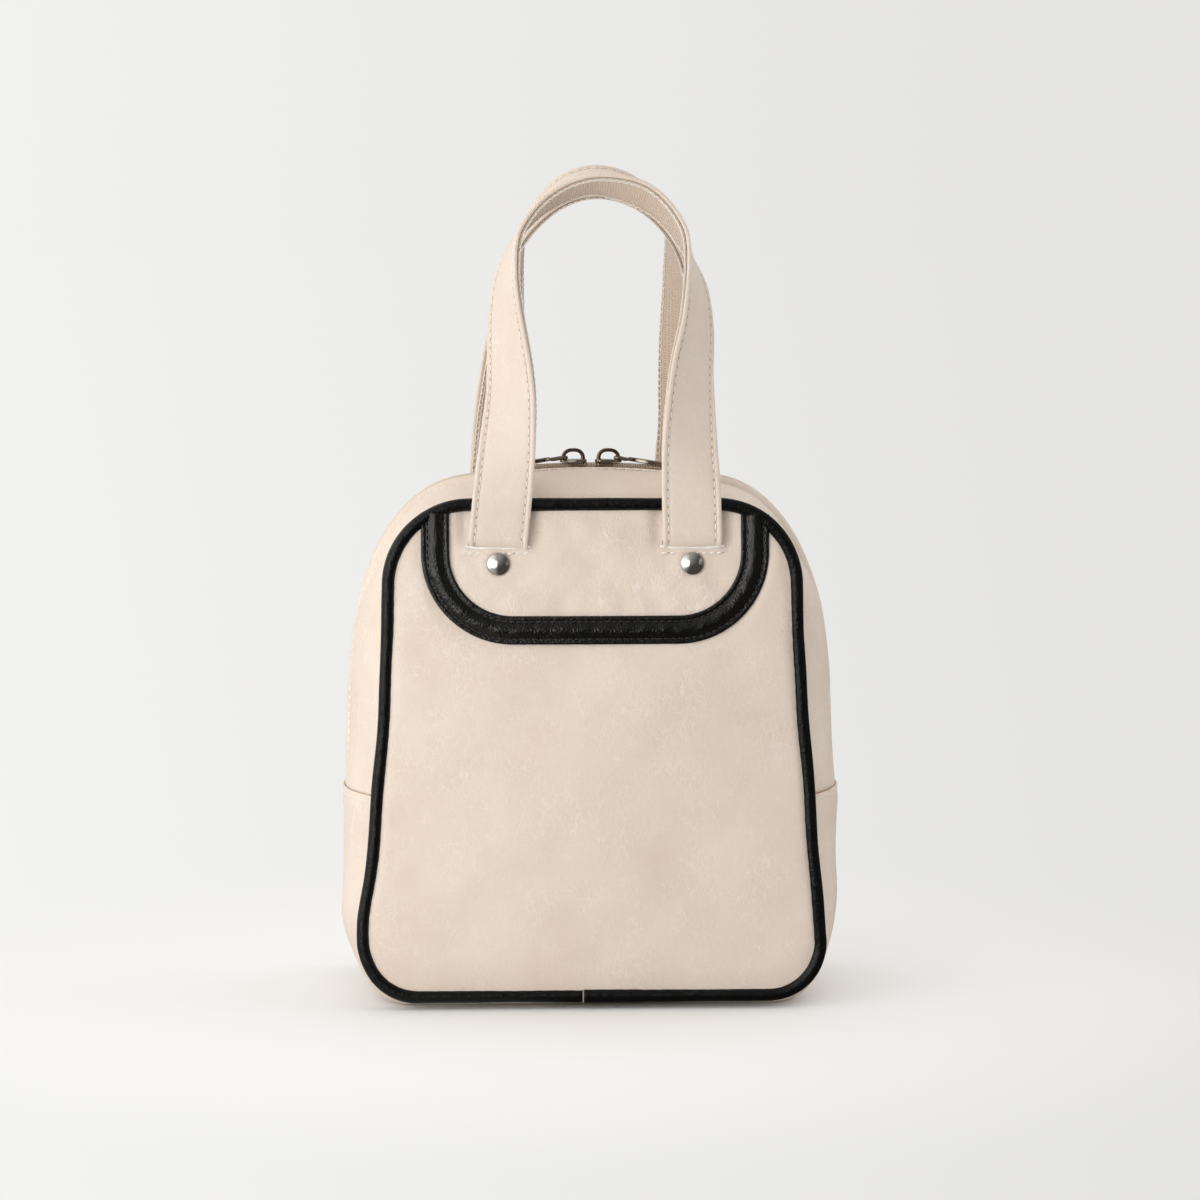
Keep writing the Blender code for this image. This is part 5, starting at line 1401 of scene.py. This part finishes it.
def make_crown(side):
    """A half ring of flat bar over the slider, with its feet on the plate."""
    steps = 48
    half, low = CROWN_LENGTH / 2 - CROWN_BAR / 2, DECK_HIGH + 0.0002
    rise = CROWN_HEIGHT - CROWN_BAR / 2 + 0.0005
    a = np.linspace(0, math.pi, 41)
    arch = np.stack([-half * squared(np.cos(a), 0.80), np.zeros(41), low + rise * np.sin(a) ** 0.80], -1)
    path = resample(arch, steps)
    n = np.cross(tangents(path), (0.0, 1.0, 0.0))
    thick = CROWN_BAR / 2 * (1.32 + 0.22 * np.abs(np.linspace(-1, 1, steps)) ** 2)
    rings = [path + n * (thick * squared(math.cos(k), 0.6))[:, None]
             + np.array([0, CROWN_HALF_WIDTH * squared(math.sin(k), 0.6), 0]) for k in circle(16)]
    obj = sweep(WORD[side] + "_crown_arch", np.stack(rings, 1), dark_bronze)
    obj.data.transform(slider_matrix(side))
    return obj


def moved(matrix, points):
    return points @ np.array(matrix.to_3x3()).T + np.array(matrix.translation)


def make_link(side):
    """A rounded loop from the crown to the tab's pin."""
    r = LINK_CORNER_RADIUS
    near, far, half = LINK_X + r, LINK_X + LINK_LENGTH - r, CROWN_HALF_WIDTH + GAP + LINK_RADIUS - r
    outline = np.concatenate([arc((near, half), r, 180, 90, 8), arc((far, half), r, 90, 0, 8),
                              arc((far, -half), r, 0, -90, 8), arc((near, -half), r, -90, -180, 8)])
    outline = resample(outline, 72, closed=True)
    p = np.stack([outline[:, 0], outline[:, 1], np.full(72, LINK_HEIGHT)], -1)
    rings = tube_rings(p, UP, LINK_RADIUS, 14, closed=True)
    tall = 1 + 0.25 * smooth_step(far, far - 0.0020, rings[..., 0])
    rings[..., 2] = LINK_HEIGHT + (rings[..., 2] - LINK_HEIGHT) * tall
    rings = np.concatenate([rings, rings[:1]])
    share = smooth_step(near, far - 0.0010, rings[..., 0])[..., None]
    rings = lerp(moved(slider_matrix(side), rings), moved(pull_matrix(side), rings), share)
    return sweep(WORD[side] + "_link_ring", rings, dark_nickel, closed_ends=False)


def tab_matrix():
    pin = Vector((LINK_X + LINK_LENGTH, 0, LINK_HEIGHT))
    end_x = pin.x + TAB_LENGTH
    drop = ZIP_ARCH_RADIUS - math.sqrt(ZIP_ARCH_RADIUS ** 2 - end_x ** 2)
    end_z = COIL_HIGH + GAP + TAB_THICKNESS / 2 - drop
    return Matrix.Translation(pin) @ Matrix.Rotation(math.atan2(pin.z - end_z, TAB_LENGTH), 4, 'Y')


def make_knuckle():
    """The block round the link's bar, with its bore: a bmesh."""
    steps, half = 28, KNUCKLE_HALF_WIDTH
    a = circle(steps)
    block = np.stack([KNUCKLE_MIDDLE + KNUCKLE_REACH * squared(np.cos(a), 0.45),
                      KNUCKLE_RISE * squared(np.sin(a), 0.45)], -1)
    bore = (LINK_RADIUS + 0.0001) * np.stack([np.cos(a), np.sin(a)], -1)
    bm = bmesh.new()
    rings = [[bm.verts.new((float(x), y, float(z))) for x, z in edge] for y, edge in (
        (-half, block * 0.94), (-half + 0.0002, block), (half - 0.0002, block), (half, block * 0.94),
        (half, bore), (-half, bore))]
    for one, two in zip(rings, rings[1:] + rings[:1]):
        for i in range(steps):
            j = (i + 1) % steps
            bm.faces.new((one[i], one[j], two[j], two[i]))
    bmesh.ops.recalc_face_normals(bm, faces=bm.faces)
    return bm


def make_tab(side):
    """A knuckle round the link's bar, a neck, and a flat pull with a round end and rounded edges."""
    thick, wide, end, round_end = TAB_THICKNESS / 2 + 0.0003, TAB_HALF_WIDTH, TAB_LENGTH, 0.0034
    start = LINK_RADIUS + 0.0010
    curve = [(start, 0.0017), (start + 0.0018, 0.0018), (start + 0.0036, 0.0026), (start + 0.0060, wide * 0.94),
             (start + 0.0085, wide), (end - round_end, wide)]
    curve += [(end - round_end + round_end * math.sin(a), wide * math.cos(a))
              for a in np.linspace(0.15, math.pi / 2, 9)]
    outline = curve + [(x, -y) for x, y in curve[::-1] if y > 1e-9]
    parts = [plate(outline, -thick, thick, 0.00042), make_knuckle()]
    return bm_object(WORD[side] + "_tab_plate", parts, dark_nickel, pull_matrix(side) @ tab_matrix())


def yoke_stitches(back, holes=False):
    """The stitches across the yoke under each strap, or dark brown tubes sunk at the needle holes between them,
    which paint the shade in those holes.
    """
    rows = []
    for side in (-1, 1):
        x = strap_x(side, back) + np.linspace(-0.0156, 0.0156, 30)
        p = face_xyz(x, np.full(30, SLOT_Z - 0.0042), -0.00004)
        if holes:
            rows.append(stitch_row("row", p, FORWARD, *YOKE_HOLE, painted_shade_brown, -0.15, shift=0.5))
        else:
            rows.append(stitch_row("row", p, FORWARD, *YOKE_STITCH, white_thread, 0.85, 0.0005))
    return join(label("front_yoke_needle_holes" if holes else "front_yoke_stitches", back), rows)


# Make everything

for make, nodes, slot in (
        (make_panel, ["front_panel"], "beige_leather"),
        (make_yoke, ["front_yoke"], "beige_leather"),
        (make_band, ["front_band", "front_band_filler"], "black_leather"),
        (make_band_stitches, [], "black_leather"),
        (make_piping, ["front_piping", "front_piping_cord"], "black_leather"),
        (make_piping_end, [], "black_leather"),
        (make_zip_gusset, ["front_zip_gusset"], "beige_leather"),
        (make_zip_stitches, [], "beige_leather"),
        (lambda back: make_zip_stitches(back, True), [], "beige_leather"),
        (make_tape, ["front_zip_tape"], "zip_fabric"),
        (make_coil, ["front_zip_coil"], "zip_coil"),
        (make_lining, ["front_lining"], "lining")):
    twin(make, nodes, slot)
place(make_bottom_gusset(), "bag", ["bottom_gusset"], "beige_leather")
place(make_bottom_stitches(), "bag", (), "beige_leather")
place(make_seam_shade_lines(), "bag", (), "beige_leather")
place(make_board(), "bag", ["base_board"], "board")
for side, word in WORD.items():
    twin(lambda back, side=side: slot_lip(back, side), [], "beige_leather")
    twin(lambda back, side=side: make_rivet(back, side), ["front_%s_rivet_cap" % word], "nickel")
twin(yoke_stitches, [], "beige_leather")
twin(lambda back: yoke_stitches(back, True), [], "beige_leather")
for back in (False, True):
    make_handle(back)
for side, word in WORD.items():
    place(make_slider(side), word + "_slider", [word + "_slider"], "nickel")
    place(make_crown(side), word + "_slider", [word + "_crown"], "nickel")
    place(make_link(side), word + "_pull_link", [word + "_pull_link"], "nickel")
    place(make_tab(side), word + "_pull_tab", [word + "_pull_tab"], "nickel")
for name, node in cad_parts.items():
    if "rivet_back" in name:
        node.data.materials.clear()
        node.data.materials.append(nickel)


# Floor, light and camera

BACKGROUND_LEFT, BACKGROUND_RIGHT = (0.900, 0.896, 0.878), (0.780, 0.775, 0.760)
# The side that the world is darker on, across and towards the back
DARK_TOWARD = (0.60, -0.80)
WORLD_BASE, WORLD_LEFT, WORLD_RIGHT, WORLD_TOP, WORLD_BACK = 0.31, 0.31, 1.45, 0.78, 0.35
# The room that shiny surfaces show: grey in front, lighter above and behind, with a bright strip at the right
ROOM_BASE, ROOM_LEFT, ROOM_RIGHT, ROOM_TOP, ROOM_BACK = 0.22, 1.20, 0.60, 0.26, 0.24
FLOOR_MIRRORED_LEFT, FLOOR_MIRRORED_RIGHT = (0.62, 0.60, 0.56), (0.085, 0.072, 0.058)
# The background's two colours meet over this share of the distance to each side
SPREAD = 0.135
FLOOR_HALF_SIZE, FLOOR_Z = 14.0, -0.0003
FLOOR_DARKER, FLOOR_LIGHTER = (0.795, 0.788, 0.778), (0.808, 0.802, 0.792)
# The camera: degrees to the right and up, metres from its target, and its focal length in frame widths
CAMERA_AZIMUTH, CAMERA_ELEVATION, CAMERA_DISTANCE = -2.2, 6.0, 2.2
CAMERA_TARGET = (0.0036, -0.05, 0.2031)
CAMERA_FOCUS, SENSOR_WIDTH = 4439.0 / 1200.0, 36.0


def make_floor():
    """A pale sweep that fades into the background some way behind and beside the bag."""
    t = Tree("floor")
    spot = object_coordinates(t)
    tone = t.noise(spot, 1.3, 2.0, 0.5)
    colour = t.mix(t.span(tone, 0.3, 0.7), FLOOR_DARKER, FLOOR_LIGHTER)
    t.finish(Base_Color=colour, Roughness=0.75, Specular_IOR_Level=0.15)
    parts = t.add("SeparateXYZ", {0: spot})
    behind = t.math('MAXIMUM', t.plus(parts.outputs[1], 2.2), 0.8)
    share = t.span(t.over(parts.outputs[0], behind), -SPREAD, SPREAD)
    glow = t.add("Emission", {"Color": t.mix(share, BACKGROUND_LEFT, BACKGROUND_RIGHT)})
    away = t.add("VectorMath", {0: spot}, operation='LENGTH').outputs["Value"]
    fade = t.add("MapRange", {"Value": away, "From Min": 0.05, "From Max": 0.44},
                 interpolation_type='SMOOTHSTEP')
    blend = t.add("MixShader", {0: fade.outputs[0], 1: t.shader.outputs[0], 2: glow.outputs[0]})
    bearing = t.over(parts.outputs[0], t.math('MAXIMUM', away, 0.05))
    mirrored = t.mix(t.span(bearing, -0.60, -0.20), FLOOR_MIRRORED_LEFT, FLOOR_MIRRORED_RIGHT)
    dim = t.add("Emission", {"Color": mirrored})
    ray = t.add("LightPath")
    blend = t.add("MixShader", {0: ray.outputs["Is Glossy Ray"], 1: blend.outputs[0], 2: dim.outputs[0]})
    t.links.new(blend.outputs[0], t.nodes["Material Output"].inputs[0])
    size = FLOOR_HALF_SIZE
    corners = [(x, y, FLOOR_Z) for x, y in ((-size, -size), (size, -size), (size, size), (-size, size))]
    obj = mesh_object("floor", corners, [(0, 1, 2, 3)], t.material)


def make_world():
    """Lit from the sides, from above and from behind, darker in front; a plain backdrop for the camera."""
    world = bpy.data.worlds.new("studio")
    bpy.context.scene.world = world
    t = Tree("studio", world)
    t.nodes.clear()
    parts = t.add("SeparateXYZ", {0: t.add("TexCoord").outputs["Generated"]})
    x, y, z = parts.outputs
    level = WORLD_BASE
    for way, start, end, amount in ((x, -0.25, -0.95, WORLD_LEFT), (x, 0.45, 0.95, WORLD_RIGHT),
                                    (z, 0.15, 0.80, WORLD_TOP), (y, 0.0, 0.7, WORLD_BACK)):
        level = t.plus(level, t.span(way, start, end, 0.0, amount))
    flat = t.math('SQRT', t.minus(1.0, t.times(z, z)))
    toward = t.plus(t.times(x, DARK_TOWARD[0]), t.times(y, DARK_TOWARD[1]))
    toward = t.over(toward, t.math('MAXIMUM', flat, 0.1))
    dark = t.times(t.span(toward, 0.70, 0.86), t.span(z, 0.80, 0.55))
    level = t.times(level, t.minus(1.0, t.times(dark, 0.80)))
    light = t.add("Background", {"Color": (1.0, 0.995, 0.985), "Strength": level})
    room = ROOM_BASE
    for way, start, end, amount in ((z, 0.10, 0.85, ROOM_TOP), (x, -0.20, -0.60, ROOM_LEFT),
                                    (y, -0.10, 0.50, ROOM_BACK)):
        room = t.plus(room, t.span(way, start, end, 0.0, amount))
    room = t.times(room, t.span(x, 0.0, 0.6, 1.0, 0.35))
    strip = t.times(t.span(x, 0.76, 0.80), t.span(x, 0.88, 0.84))
    room = t.plus(room, t.times(strip, ROOM_RIGHT))
    mirrored = t.add("Background", {"Color": (1.0, 0.955, 0.890), "Strength": room})
    seen = t.add("Background", {"Color": t.mix(t.span(x, -SPREAD, SPREAD), BACKGROUND_LEFT, BACKGROUND_RIGHT),
                                "Strength": 1.0})
    ray = t.add("LightPath")
    mix = t.add("MixShader", {0: ray.outputs["Is Glossy Ray"], 1: light.outputs[0], 2: mirrored.outputs[0]})
    straight = t.math('MAXIMUM', ray.outputs["Is Camera Ray"], ray.outputs["Is Transmission Ray"])
    mix = t.add("MixShader", {0: straight, 1: mix.outputs[0], 2: seen.outputs[0]})
    out = t.add("OutputWorld")
    t.links.new(mix.outputs[0], out.inputs[0])


def add_turned(name, data, location, toward):
    """A light or camera that looks along a direction."""
    obj = add_object(name, data)
    obj.location = location
    obj.rotation_mode = 'QUATERNION'
    obj.rotation_quaternion = toward.to_track_quat('-Z', 'Y')
    return obj


def add_area(name, energy, size, location, aim):
    data = bpy.data.lights.new(name, 'AREA')
    data.energy, data.size, data.color = energy, size, (1.0, 0.99, 0.975)
    add_turned(name, data, location, Vector(aim) - Vector(location))


def make_camera():
    azimuth, elevation = math.radians(CAMERA_AZIMUTH), math.radians(CAMERA_ELEVATION)
    back = Vector((math.sin(azimuth) * math.cos(elevation), -math.cos(azimuth) * math.cos(elevation),
                   math.sin(elevation)))
    data = bpy.data.cameras.new("camera")
    data.sensor_width = SENSOR_WIDTH
    data.lens = CAMERA_FOCUS * data.sensor_width
    bpy.context.scene.camera = add_turned("camera", data, Vector(CAMERA_TARGET) + back * CAMERA_DISTANCE, -back)


make_floor()
make_world()
add_area("key", 9.9, 1.25, (-0.73, -0.82, 0.16), (0.0, 0.0, 0.10))
add_area("fill", 0.68, 0.5, (-0.42, -0.50, 0.06), (-0.08, -0.05, 0.07))
make_camera()
bpy.context.scene.view_settings.view_transform = 'Standard'

bpy.context.view_layer.update()
